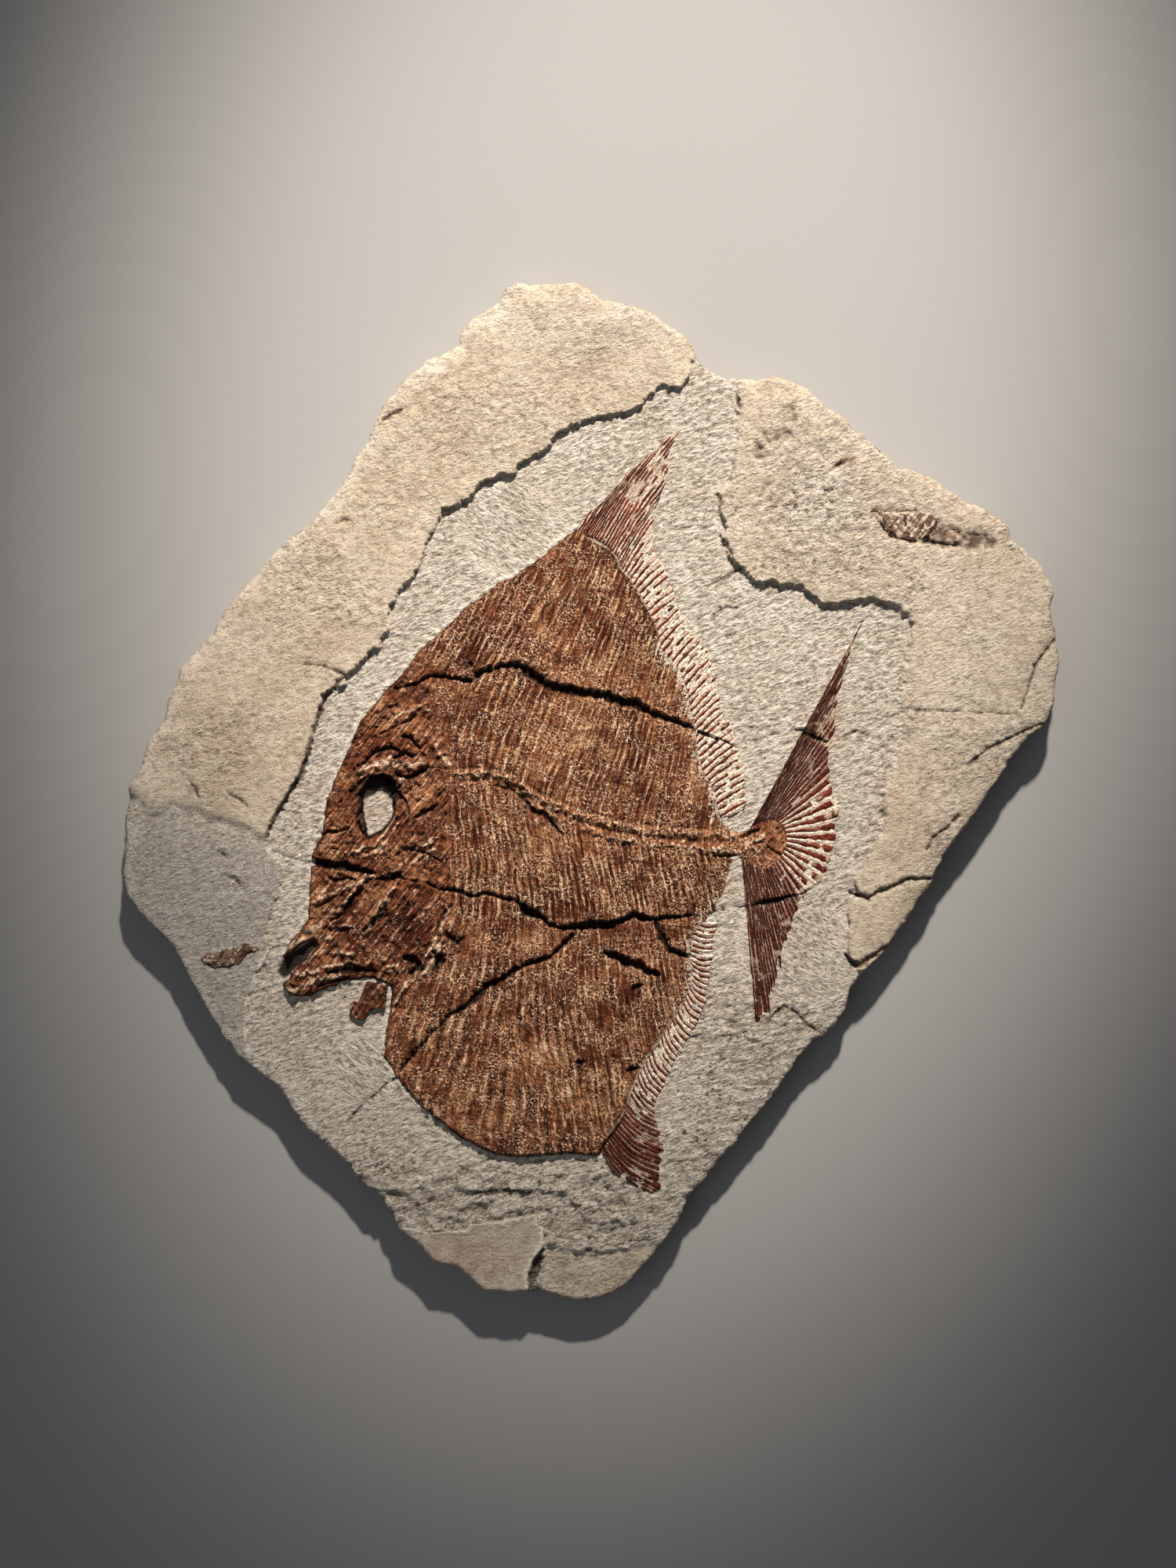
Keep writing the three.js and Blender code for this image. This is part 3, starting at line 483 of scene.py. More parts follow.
def patches(x, y, places):
    """How much of each place lies in soft round patches, 0 to 1."""
    total = 0 * x
    for px, py, half_width, half_height, amount in places:
        total = total + amount * np.exp(-(((x - px) / half_width) ** 2) - ((y - py) / half_height) ** 2)
    return np.clip(total, 0, 1)


# ---------- distances ----------
def depth_inside(x, y, outline):
    """Distance to an outline, positive inside it."""
    corners = np.array(outline, float)
    inside = np.zeros(np.shape(x), bool)
    nearest = np.full(np.shape(x), 1e9)
    for (ax, ay), (bx, by) in zip(corners, np.roll(corners, -1, axis=0)):
        ex, ey = bx - ax, by - ay
        share = np.clip(((x - ax) * ex + (y - ay) * ey) / (ex * ex + ey * ey), 0, 1)
        nearest = np.minimum(nearest, np.hypot(x - ax - share * ex, y - ay - share * ey))
        if ay != by:
            crosses = (ay > y) != (by > y)
            inside ^= crosses & (x < ax + (y - ay) * ex / ey)
    return np.where(inside, nearest, -nearest)


def along_route(x, y, route):
    """Distance to a route of (x, y, width) points, and the route's width beside each place."""
    nearest = np.full(np.shape(x), 1e9)
    width = np.ones(np.shape(x))
    for (ax, ay, aw), (bx, by, bw) in zip(route, route[1:]):
        ex, ey = bx - ax, by - ay
        share = np.clip(((x - ax) * ex + (y - ay) * ey) / (ex * ex + ey * ey), 0, 1)
        gap = np.hypot(x - ax - share * ex, y - ay - share * ey)
        closer = gap < nearest
        nearest = np.where(closer, gap, nearest)
        width = np.where(closer, aw + share * (bw - aw), width)
    return nearest, width


def near_route(x, y, route, reach):
    """Which places lie in a box round a route."""
    xs = [p[0] for p in route]
    ys = [p[1] for p in route]
    across = (x > min(xs) - reach) & (x < max(xs) + reach)
    return across & (y > min(ys) - reach) & (y < max(ys) + reach)


def cut_depth(x, y, routes, ragged):
    """How deep a set of ragged grooves reaches, and how much of each place is groove, 0 to 1."""
    depth = np.zeros(np.shape(x))
    share = np.zeros(np.shape(x))
    wander = ragged * layered_noise(x, y, 3.2, 911, 3)
    for full_depth, route in routes:
        near = near_route(x, y, route, 6)
        gap, width = along_route(x[near], y[near], route)
        inside = smooth(width / 2 - gap + wander[near] * np.minimum(1, width / 2), -0.2, 0.35)
        depth[near] = np.maximum(depth[near], full_depth * inside)
        share[near] = np.maximum(share[near], inside)
    return depth, share


def raised_height(x, y, routes):
    """Height of a set of jagged, round-backed bones, and how much of each place is bone."""
    height = np.zeros(np.shape(x))
    share = np.zeros(np.shape(x))
    shift_x = 0.9 * layered_noise(x, y, 3.4, 517, 3)
    shift_y = 0.9 * layered_noise(x, y, 3.4, 527, 3)
    worn = 0.75 + 0.9 * noise(x, y, 2.4, 537)
    for full_height, route in routes:
        near = near_route(x, y, route, 8)
        gap, width = along_route((x + shift_x)[near], (y + shift_y)[near], route)
        reach = np.clip(gap / (width / 2 + 0.35), 0, 1)
        back = np.sqrt(1 - reach * reach) * worn[near]
        height[near] = np.maximum(height[near], full_height * back)
        bone = 0.55 * smooth(back, 0.15, 0.5) + 0.45 * smooth(-reach, -0.5, -0.15)
        share[near] = np.maximum(share[near], bone)
    return height, share


# ---------- mesh making ----------
def scattered(outline, spacing, seed, margin):
    """Points in a jittered triangular grid inside an outline, at least a margin from it."""
    return points_in_rows(outline, spacing * math.sqrt(3) / 2, spacing, 0, 0.5, seed, margin)


def points_in_rows(outline, row_gap, step, degrees, stagger, seed, margin):
    """Jittered points inside an outline, in rows along one direction, a step apart in each row."""
    corners = np.array(outline, float)
    reach = np.hypot(*corners.T).max() + step
    along, across = np.meshgrid(np.arange(-reach, reach, step), np.arange(-reach, reach, row_gap))
    along = along + stagger * step * (np.arange(len(across)) % 2)[:, None]
    random = np.random.default_rng(seed)
    along = along.ravel() + random.uniform(-0.22, 0.22, along.size) * min(step, 2 * row_gap)
    across = across.ravel() + random.uniform(-0.22, 0.22, across.size) * row_gap
    angle = math.radians(degrees)
    x = along * math.cos(angle) - across * math.sin(angle)
    y = along * math.sin(angle) + across * math.cos(angle)
    low, high = corners.min(0), corners.max(0)
    kept = (x > low[0]) & (x < high[0]) & (y > low[1]) & (y < high[1])
    x, y = x[kept], y[kept]
    kept = depth_inside(x, y, outline) > margin
    return np.column_stack([x[kept], y[kept]])


def triangulated(rim, inner):
    """Triangles over a rim and the points inside it, wound anticlockwise, with the points that they use."""
    count = len(rim)
    points = [Vector(p) for p in np.vstack([rim, inner]).tolist()]
    made = delaunay_2d_cdt(points, [], [list(range(count))], 1, 1e-6)
    flat = np.array([v[:] for v in made[0]])
    faces = np.array(made[2])
    a, b, c = (flat[faces[:, i]] for i in range(3))
    turned = (b[:, 0] - a[:, 0]) * (c[:, 1] - a[:, 1]) - (b[:, 1] - a[:, 1]) * (c[:, 0] - a[:, 0]) < 0
    faces[turned] = faces[turned][:, ::-1]
    return flat, faces


def border_of(faces):
    """The vertices round the edge of a sheet of triangles, in order."""
    edges = np.vstack([faces[:, [0, 1]], faces[:, [1, 2]], faces[:, [2, 0]]])
    known = set(map(tuple, edges.tolist()))
    following = {a: b for a, b in known if (b, a) not in known}
    start = min(following)
    border = [start]
    while following[border[-1]] != start:
        border.append(following[border[-1]])
    return np.array(border)


def closed_relief(name, rim, inner, height, wall_levels, wall_inset, floor, floor_points):
    """A closed piece: a relief for its top, walls down from its rim, and a flat underside.

    height(x, y) gives the top's heights and a dictionary of shares for the material.
    wall_inset(turn, level) gives how far the wall stands in from the rim, for a share of the way round and
    a share of the way down.
    """
    flat, top_faces = triangulated(rim, inner)
    z, shares = height(flat[:, 0], flat[:, 1])
    border = border_of(top_faces)
    rim_xy, rim_z = flat[border], z[border]
    steps = np.hypot(*(np.roll(rim_xy, -1, axis=0) - rim_xy).T)
    turn = np.concatenate([[0], np.cumsum(steps)]) / steps.sum()
    middle = rim_xy.mean(0)
    outward = rim_xy - middle
    reach = np.hypot(*outward.T)
    rings = []
    for level in wall_levels:
        ring_xy = middle + outward * (1 - wall_inset(turn[:-1], level) / reach)[:, None]
        rings.append(np.column_stack([ring_xy, rim_z + level * (floor - rim_z)]))
    bottom_flat, bottom_faces = triangulated(rings[-1][:, :2], floor_points)
    extra = bottom_flat[len(border):]

    top_count, ring_count = len(flat), len(border)
    top_places = np.column_stack([flat, z])
    bottom_places = np.column_stack([extra, np.full(len(extra), floor)])
    places = np.vstack([top_places, *rings, bottom_places])
    here = np.arange(ring_count)
    there = (here + 1) % ring_count
    walls, wall_uvs = [], []
    for i, level in enumerate(wall_levels):
        above = border if i == 0 else top_count + (i - 1) * ring_count + here
        below = top_count + i * ring_count + here
        walls += quad_halves(above, below, below[there], above[there])
        wall_uvs += strip_uvs(turn, wall_levels[i - 1] if i else 0, level)
    last = top_count + (len(rings) - 1) * ring_count
    underside = (last + bottom_faces)[:, ::-1]
    faces = np.vstack([top_faces, *walls, underside])
    uvs = np.concatenate([flat_uvs(places)[top_faces], *wall_uvs, under_uvs(places)[underside]])

    filled = {}
    for key, value in shares.items():
        wall_value = np.tile(value[border], len(rings))
        filled[key] = np.concatenate([value, wall_value, np.full(len(extra), value[border].mean())])
    filled["wall"] = np.concatenate([np.zeros(top_count), np.ones(len(places) - top_count)])
    return make_mesh(name, places, faces, uvs, filled)


def quad_halves(a, b, c, d):
    """The two triangles of each four-cornered face."""
    return [np.column_stack([a, b, c]), np.column_stack([a, c, d])]


# Where things lie in the picture of a piece's finish: its top at the lower left, its underside beside that,
# and its walls cut into strips above both.
PICTURE_EDGE = 0.01
TOP_SIZE = 0.74
UNDERSIDE_LEFT, UNDERSIDE_SIZE = 0.77, 0.21
STRIPS = 3
STRIP_LENGTH, STRIP_WIDTH = 0.97, 0.055
LOWEST_STRIP, STRIP_PITCH = 0.79, 0.07


def flat_uvs(places):
    """The top's place in the picture, as seen from above."""
    low, high = places[:, :2].min(0), places[:, :2].max(0)
    return PICTURE_EDGE + (places[:, :2] - low) * TOP_SIZE / max(high - low)


def under_uvs(places):
    """The underside's place in the picture."""
    low, high = places[:, :2].min(0), places[:, :2].max(0)
    corner = np.array([UNDERSIDE_LEFT, PICTURE_EDGE])
    return corner + (places[:, :2] - low) * UNDERSIDE_SIZE / max(high - low)


def strip_uvs(turn, upper_level, lower_level):
    """A wall's place in the picture: strips one above another, each a part of the way round."""
    starts, ends = turn[:-1], turn[1:]
    row = np.floor(np.minimum(starts * STRIPS, STRIPS - 0.001))

    def corner(way, level):
        across = PICTURE_EDGE + (way * STRIPS - row) * STRIP_LENGTH
        return np.column_stack([across, LOWEST_STRIP + row * STRIP_PITCH + level * STRIP_WIDTH])

    upper, lower = corner(starts, upper_level), corner(starts, lower_level)
    lower_next, upper_next = corner(ends, lower_level), corner(ends, upper_level)
    return [np.stack([upper, lower, lower_next], 1), np.stack([upper, lower_next, upper_next], 1)]


def make_mesh(name, places, faces, uvs, shares):
    """A smooth-shaded mesh object from arrays in millimetres, with per-vertex shares for its material."""
    mesh = bpy.data.meshes.new(name)
    mesh.vertices.add(len(places))
    mesh.vertices.foreach_set("co", (places * MM).astype(np.float32).ravel())
    mesh.loops.add(faces.size)
    mesh.loops.foreach_set("vertex_index", faces.astype(np.int32).ravel())
    mesh.polygons.add(len(faces))
    mesh.polygons.foreach_set("loop_start", np.arange(0, faces.size, 3, dtype=np.int32))
    layer = mesh.uv_layers.new(name="OFBake")
    layer.data.foreach_set("uv", uvs.astype(np.float32).ravel())
    for key, value in shares.items():
        attribute = mesh.attributes.new(key, "FLOAT", "POINT")
        attribute.data.foreach_set("value", value.astype(np.float32))
    mesh.update()
    mesh.validate()
    mesh.shade_smooth()
    made = bpy.data.objects.new(name, mesh)
    bpy.context.scene.collection.objects.link(made)
    return made


def densified(outline, spacing, roughness, seed):
    """An outline with evenly spaced points, pushed in and out from its middle as a broken edge is."""
    corners = np.array(outline, float)
    nexts = np.roll(corners, -1, axis=0)
    lengths = np.hypot(*(nexts - corners).T)
    starts = np.concatenate([[0], np.cumsum(lengths)])
    places = np.arange(0, starts[-1], spacing)
    part = np.searchsorted(starts, places, side="right") - 1
    share = ((places - starts[part]) / lengths[part])[:, None]
    points = corners[part] + share * (nexts[part] - corners[part])
    middle = points.mean(0)
    outward = points - middle
    push = roughness * layered_noise(points[:, 0], points[:, 1], 7, seed, 4)
    return middle + outward * (1 + push / np.hypot(*outward.T))[:, None]


def grown(outline, distance):
    """An outline moved outwards, corner by corner; the outline runs clockwise."""
    corners = np.array(outline, float)
    before = corners - np.roll(corners, 1, axis=0)
    after = np.roll(corners, -1, axis=0) - corners
    along = before / np.hypot(*before.T)[:, None] + after / np.hypot(*after.T)[:, None]
    along /= np.hypot(*along.T)[:, None]
    return corners + distance * np.column_stack([-along[:, 1], along[:, 0]])


# ---------- the stone ----------
def fin_side(x, y):
    """1 behind a line from the back's peak to the belly's end, where the fins are, and 0 before it."""
    return smooth(x + 1.5 - 0.034 * (112 - y), -2, 4)


def turned_share(x, y):
    """Where the engraving tool's strokes fall to the right, 0 to 1."""
    return smooth(patches(x, y, TURNED_PATCHES) + 0.15 * noise(x, y, 16, 47), 0.35, 0.6)


def upper_layers(x, y, ragged, rim, lowered, soft_step):
    """The layers left standing: gently rolling and pitted, and thinner towards the slab's margin."""
    rolling = 0.3 * noise(x, y, 42, 31) + 0.25 * noise(x, y, 15, 32)
    pitted = smooth(noise(x, y, 34, 33) + 0.35 * noise(x, y, 9, 34), -0.15, 0.5) * (1 - 0.6 * lowered)
    pitted = np.maximum(pitted, patches(x, y, PITTED_PATCHES))
    crumbs = layered_noise(x, y, 2.9, 35, 3)
    level = BEDDING_TOP + (LOWER_LAYER - BEDDING_TOP) * lowered
    thinning = (1.5 + 0.8 * noise(x, y, 20, 36)) * (1 - smooth(rim + 4 * noise(x, y, 14, 37), 0, 9))
    laminae = 0.35 * smooth(noise(x, y, 26, 38) + 0.25 * ragged, 0.1, 0.2) + 0.6 * soft_step
    z = level - 0.5 + rolling - laminae - 0.7 * thinning + (0.13 + 0.35 * pitted) * crumbs
    z = z - 0.7 * pitted * smooth(layered_noise(x, y, 2.6, 39, 2), 0.3, 0.75)

    scraped = patches(x, y, SCRAPED_PATCHES)
    scraping = strokes(x, y, 38, 6, 2.2, 40) + 0.7 * layered_noise(x, y, 3.2, 49, 3)
    z = z + scraped * (1.1 * scraping - 0.4 * pitted - 0.4)
    hollows = patches(x, y, CREVICE) + patches(x, y, SCARS)
    crumbled = smooth(hollows + 0.4 * layered_noise(x, y, 4, 42, 4), 0.3, 0.75)
    rubble = grains(x, y, 3.0, 45)
    z = z - 2.3 * crumbled + 3.2 * crumbled * rubble
    # Painted shade in the gaps between the rubble in the crevices and scars.
    shade_between_rubble = (1 - 0.85 * smooth(rubble, 0.15, 0.5)) * crumbled
    return z, {"pitted": pitted, "scraped": scraped, "crumbs": crumbs, "crumbled": shade_between_rubble}


def worked_face(x, y, ragged):
    """The face under the engraving tool: fine strokes, and lumps towards the bottom and the lower right."""
    low_zone = smooth(-y + 6 * noise(x, y, 20, 41), 150, 166) * smooth(34 - x, -10, 14)
    right_zone = smooth(x - 28, 0, 18) * smooth(-y - 0.35 * x, 30, 75)
    rough = np.clip(low_zone + right_zone, 0, 1)
    turned = turned_share(x, y)
    rising, falling = strokes(x, y, 22, 3.4, 2.0, 51), strokes(x, y, -33, 3.4, 2.0, 52)
    fine_strokes = rising * (1 - turned) + falling * turned
    strength = 0.7 + 0.5 * noise(x, y, 30, 53)
    marks = strength * (1 - 0.4 * rough) * (0.45 * fine_strokes - 0.55 * smooth(-fine_strokes, 0.2, 0.45))
    long_lumps = strokes(x, y, 12, 7, 2.7, 61)
    round_lumps = 1.2 * grains(x + 2 * noise(x, y, 9, 62), y, 5.0, 63)
    round_lumps = round_lumps + 0.9 * layered_noise(x, y, 5, 64, 4) - 0.3
    lumps = long_lumps * (1 - low_zone) + 1.5 * round_lumps * low_zone
    z = PREPARED_FACE + 0.25 * noise(x, y, 28, 43) + 0.14 * layered_noise(x, y, 8, 44, 3)
    z = z + marks + rough * (0.85 + 0.35 * low_zone) * lumps
    ledge = hump(y + 169 - 0.9 * ragged, 0.8) * smooth(x, -95, -88) * smooth(-x, 0, 8)
    z = z + 0.7 * ledge
    return z, {"rough": rough, "turned": turned, "marks": marks, "lumps": lumps, "ledge": ledge}


def stone_surface(x, y):
    """The slab's worked face: its height, and the shares of each kind of surface on it."""
    ragged = 0.9 * layered_noise(x, y, 4.5, 21, 4)
    dug = depth_inside(x, y, PREPARED_AREA) + ragged
    lower = depth_inside(x, y, LOWER_LAYER_AREA) + 0.7 * ragged
    flake = depth_inside(x, y, FLAKE_AREA) + 0.6 * ragged
    patch = depth_inside(x, y, SMOOTH_PATCH) + 0.8 * ragged
    fish = depth_inside(x, y, BODY_OUTLINE)
    rim = depth_inside(x, y, SLAB_OUTLINE)
    soft_step = patches(x, y, SOFT_STEPS)
    upper = 1 - smooth(dug, -0.35 - 3 * soft_step, 0.35 + 2 * soft_step)
    lowered = smooth(lower, -2.4, 2.0)
    flaked = smooth(flake, -0.45, 0.45)
    upper_z, top = upper_layers(x, y, ragged, rim, lowered, soft_step)
    face_z, face = worked_face(x, y, ragged)

    # The bottom edge: a smooth patch with a raised rim, and a flake of the next layer.
    patch_rim = hump(patch - 0.2, 0.9)
    face_z = face_z - smooth(patch, -1, 1) * (0.7 + 0.8 * (face_z - PREPARED_FACE)) + 0.6 * patch_rim
    flake_rim = hump(flake - 0.8, 0.9)
    flake_z = FLAKE_TOP + 0.16 * top["crumbs"] + 0.7 * flake_rim - 0.3 * smooth(flake, 2, 22)
    face_z = face_z + (flake_z - face_z) * flaked

    # A thin fillet of stone left against the fish, and the hollow that the fish's own crust fills.
    fillet = hump(fish + 0.9, 0.8) * (1 - fin_side(x, y))
    face_z = face_z + 0.6 * fillet * (0.7 + 0.5 * ragged)
    face_z = face_z - 2.2 * smooth(fish, 1.2, 2.6)
    eye_stone = smooth(depth_inside(x, y, ORBIT_STONE) + 0.35 * ragged, -0.3, 0.4)
    in_eye = smooth(depth_inside(x, y, ORBIT), -1.5, 0.2)
    eye_z = PREPARED_FACE - 2.2 + 3.0 * eye_stone + 0.3 * top["crumbs"]
    face_z = face_z + (eye_z - face_z) * in_eye
    mouth = smooth(depth_inside(x, y, MOUTH), -0.6, 0.8)
    face_z = face_z - 1.6 * mouth

    crack_depth, shaded_crack = cut_depth(x, y, STONE_CRACKS + FIN_CRACKS, 0.7)
    _, pale_edge = cut_depth(x, y, PALE_EDGES, 0.5)
    chipped = smooth(rim, 0, 1.6 + 0.8 * ragged)
    z = face_z + (upper_z - face_z) * upper - crack_depth - 0.9 * (1 - chipped)

    margin = (1 - smooth(rim + 3 * noise(x, y, 12, 48), 1, 9)) * smooth(-x - 10, 0, 20)
    covered = np.maximum(flaked, 0.7 * smooth(patch, -1, 1))
    bleached = patches(x, y, BLEACHED_PATCHES) * (1 - lowered)
    rough, marks, lumps = face["rough"], face["marks"], face["lumps"]
    pitted, crumbs = top["pitted"], top["crumbs"]
    # Pale lines and rims; on the fillet and the rims that face the light the pale is a painted highlight.
    pale = 1.6 * fillet + 0.8 * face["ledge"] + patch_rim + flake_rim * flaked + pale_edge + 0.3 * margin
    # Painted shade in the low places of the tool marks, the lumps and the pits.
    low = -marks - 0.4 * rough * lumps - 0.3 * pitted * upper * crumbs
    upper_rough = (0.6 * pitted + 0.8 * top["scraped"]) * upper
    shares = {
        "upper": np.maximum(upper * (1 - 0.45 * lowered - bleached), covered),
        "rough": np.maximum(rough * (1 - upper) * (1 - covered), upper_rough),
        # The lower layer's grey, partly darkened as painted shade, and half of it on the bottom flake as
        # painted shade.
        "lower": np.maximum(smooth(lower + 6 * noise(x, y, 16, 50), -9, 12) * upper, 0.45 * flaked),
        # Cracks and the rubble's gaps, painted dark as shade.
        "shaded_crack": np.maximum(shaded_crack, top["crumbled"] * upper),
        "turned": face["turned"],
        # Painted shadow in the mouth and in the eye socket outside its patch of stone.
        "dark": np.maximum(mouth, in_eye * (1 - eye_stone)),
        "pale": np.clip(pale, 0, 1),
        # Iron stains, and painted shade on the bottom flake.
        "rust_and_shade": patches(x, y, RUST_AND_SHADE_PATCHES) * smooth(crumbs + 0.6, 0, 0.6),
        "low": smooth(low, 0.09, 0.42),
    }
    return z, shares


EDGE_LENGTH = 1300  # about how far it is round the slab
BEDS = 7  # thin beds seen in the slab's edge
BED_SHIFT = 124  # how far apart the beds read the random field, so that no two are alike


def slab_wall(turn, level):
    """The broken side: thin beds that stand out and in, as ledges."""
    bed = math.floor(level * BEDS) * BED_SHIFT
    way = turn * EDGE_LENGTH
    ledges = 0.75 + 0.75 * noise(way, bed + 0 * way, 14, 71) + 0.3 * noise(way, level * 20 + 0 * way, 3, 72)
    return np.clip(ledges, 0, 2.4) * min(1, level / 0.08) * (1 - 0.6 * max(0, level - 0.9) / 0.1)


# How far down the slab's edge its beds' ledges lie.
WALL_LEVELS = [
    0.05, 0.12, 0.142, 0.2, 0.285, 0.3, 0.38, 0.428, 0.45, 0.52, 0.571, 0.59, 0.66, 0.714, 0.73, 0.8, 0.857,
    0.88, 1,
]


def kinds_of_place(x, y):
    """Whether each place is on the worked face, needs close points, and lies hidden under the fish."""
    fish = depth_inside(x, y, BODY_OUTLINE)
    eye = depth_inside(x, y, ORBIT)
    face = depth_inside(x, y, PREPARED_AREA)
    _, shaded_crack = cut_depth(x, y, STONE_CRACKS, 0)
    sharp = (np.abs(face) < 1.5) | (shaded_crack > 0) | (np.abs(eye) < 1.8)
    sharp |= (fish < 0) & (fish > -2.6) & (fin_side(x, y) < 0.5)
    for outline in (MOUTH, FLAKE_AREA, SMOOTH_PATCH):
        sharp |= np.abs(depth_inside(x, y, outline)) < 1.4
    hidden = (fish > 3.2) & (eye < -2)
    return face >= 0, sharp & ~hidden, hidden


def slab_points():
    """Points of the slab's face: in rows along the tool's strokes, close at edges, few under the fish."""

    def chosen(points, wanted):
        return points[wanted(*kinds_of_place(*points.T), turned_share(*points.T) >= 0.5)]

    edge = 0.9
    even = points_in_rows(SLAB_OUTLINE, row_gap=1.12, step=1.3, degrees=0, stagger=0.5, seed=82, margin=edge)
    rows = {"row_gap": 0.66, "step": 1.9, "stagger": 0, "margin": edge}
    rising = points_in_rows(SLAB_OUTLINE, degrees=17, seed=83, **rows)
    falling = points_in_rows(SLAB_OUTLINE, degrees=-33, seed=84, **rows)
    fine = scattered(SLAB_OUTLINE, spacing=0.66, seed=85, margin=edge)
    sparse = scattered(SLAB_OUTLINE, spacing=7, seed=86, margin=4)
    return np.vstack([
        chosen(even, lambda face, sharp, hidden, turned: ~face & ~sharp & ~hidden),
        chosen(rising, lambda face, sharp, hidden, turned: face & ~sharp & ~hidden & ~turned),
        chosen(falling, lambda face, sharp, hidden, turned: face & ~sharp & ~hidden & turned),
        chosen(fine, lambda face, sharp, hidden, turned: sharp),
        chosen(sparse, lambda face, sharp, hidden, turned: hidden),
    ])


def make_slab():
    """The whole plate of stone, as one closed piece."""
    rim = densified(SLAB_OUTLINE, spacing=1.3, roughness=0.55, seed=81)
    few = scattered(SLAB_OUTLINE, spacing=9, seed=87, margin=6)
    return closed_relief("limestone", rim, slab_points(), stone_surface, WALL_LEVELS, slab_wall, BACK, few)


# ---------- the fish ----------
def spread_field(guides):
    """A smooth field through the numbers given along listed lines (a thin bent plate)."""
    x, y, number = np.array([(x, y, number) for number, line in guides for x, y in line], float).T
    count = len(x)
    gap = np.hypot(x[:, None] - x, y[:, None] - y)
    system = np.zeros((count + 3, count + 3))
    system[:count, :count] = plate_bend(gap) + np.eye(count) * 60
    system[:count, count:] = np.column_stack([np.ones(count), x, y])
    system[count:, :count] = system[:count, count:].T
    weights = np.linalg.solve(system, np.concatenate([number, np.zeros(3)]))

    def field(px, py):
        total = weights[count] + weights[count + 1] * px + weights[count + 2] * py
        for i in range(count):
            total = total + weights[i] * plate_bend(np.hypot(px - x[i], py - y[i]))
        return total

    return field


def plate_bend(gap):
    """How a thin plate bends at some distance from a point that holds it."""
    return gap * gap * np.log(gap + 1e-9)


scale_row = spread_field(ROW_GUIDES)


def spine_height(x):
    """The backbone's y beside each x."""
    xs, ys = zip(*SPINE)
    return np.interp(x, xs, ys)


def flank_relief(x, y, row, along):
    """Scale rows of grains, crossed by short rungs: their relief, and how strong the rows are."""
    crest = 0.5 + 0.5 * np.cos(2 * np.pi * row)
    strength = 0.35 + 0.65 * smooth(noise(x, y, 26, 104) + 0.6 * noise(row, along / 15, 1, 105), -0.5, 0.4)
    scales = grains(row * 2.7, along * 0.75, 1.7, 107)
    rungs = np.tanh(2.2 * noise(row / 1.3, along / 1.7, 1, 108))
    ribs = 0.6 - (1 - crest) ** 2.2
    return 0.75 * strength * ribs + 0.55 * scales + 0.2 * rungs, strength


def skull_relief(x, y, jaw, knobs, lumps):
    """Slivers of bone that fan back from the jaws, with knobs along them and flaky chips."""
    cheek = strokes(x, y, 52, 7, 1.7, 111)
    brow = strokes(x, y, 30, 7, 1.8, 113)
    snout = strokes(x, y, -4, 5, 1.6, 115)
    high = smooth(y, 8, 16)
    front = smooth(-x - 0.2 * y, 102, 106) * smooth(y, -31, -28)
    slivers = (cheek * (1 - high) + brow * high) * (1 - front) + snout * front
    sharp = 0.5 - np.abs(np.tanh(1.8 * slivers))
    chips = np.tanh(3 * layered_noise(x, y, 3.2, 119, 2))
    flaky = layered_noise(x, y, 1.9, 125, 2)
    knobbly = (0.6 + 1.0 * jaw) * knobs
    return 0.45 * slivers + 0.8 * sharp + knobbly + 0.3 * lumps + 0.35 * chips + 0.3 * flaky


def backbone_relief(x, along, wander, tail_root, band, knobs):
    """Two beaded edges with a knobbly band between them: their relief, and the share of the edges."""
    beads = 0.4 + 0.6 * np.cos(2 * np.pi * (x + 0.4 * along) / 3.1 + 5 * wander)
    upper_edge = hump(along - 2.6 + 0.9 * wander, 1.0)
    lower_edge = hump(along + 3.6 + 0.9 * wander, 1.0) * smooth(x, -12, 5)
    furrow = hump(along + 0.6, 0.9) + 0.8 * hump(along - 4.6, 0.7)
    spine = smooth(x, -62, -54) * (1 - 0.5 * tail_root)
    edges = (upper_edge + lower_edge) * beads * spine
    return 1.5 * edges - 0.9 * spine * furrow + 1.7 * band * knobs, edges


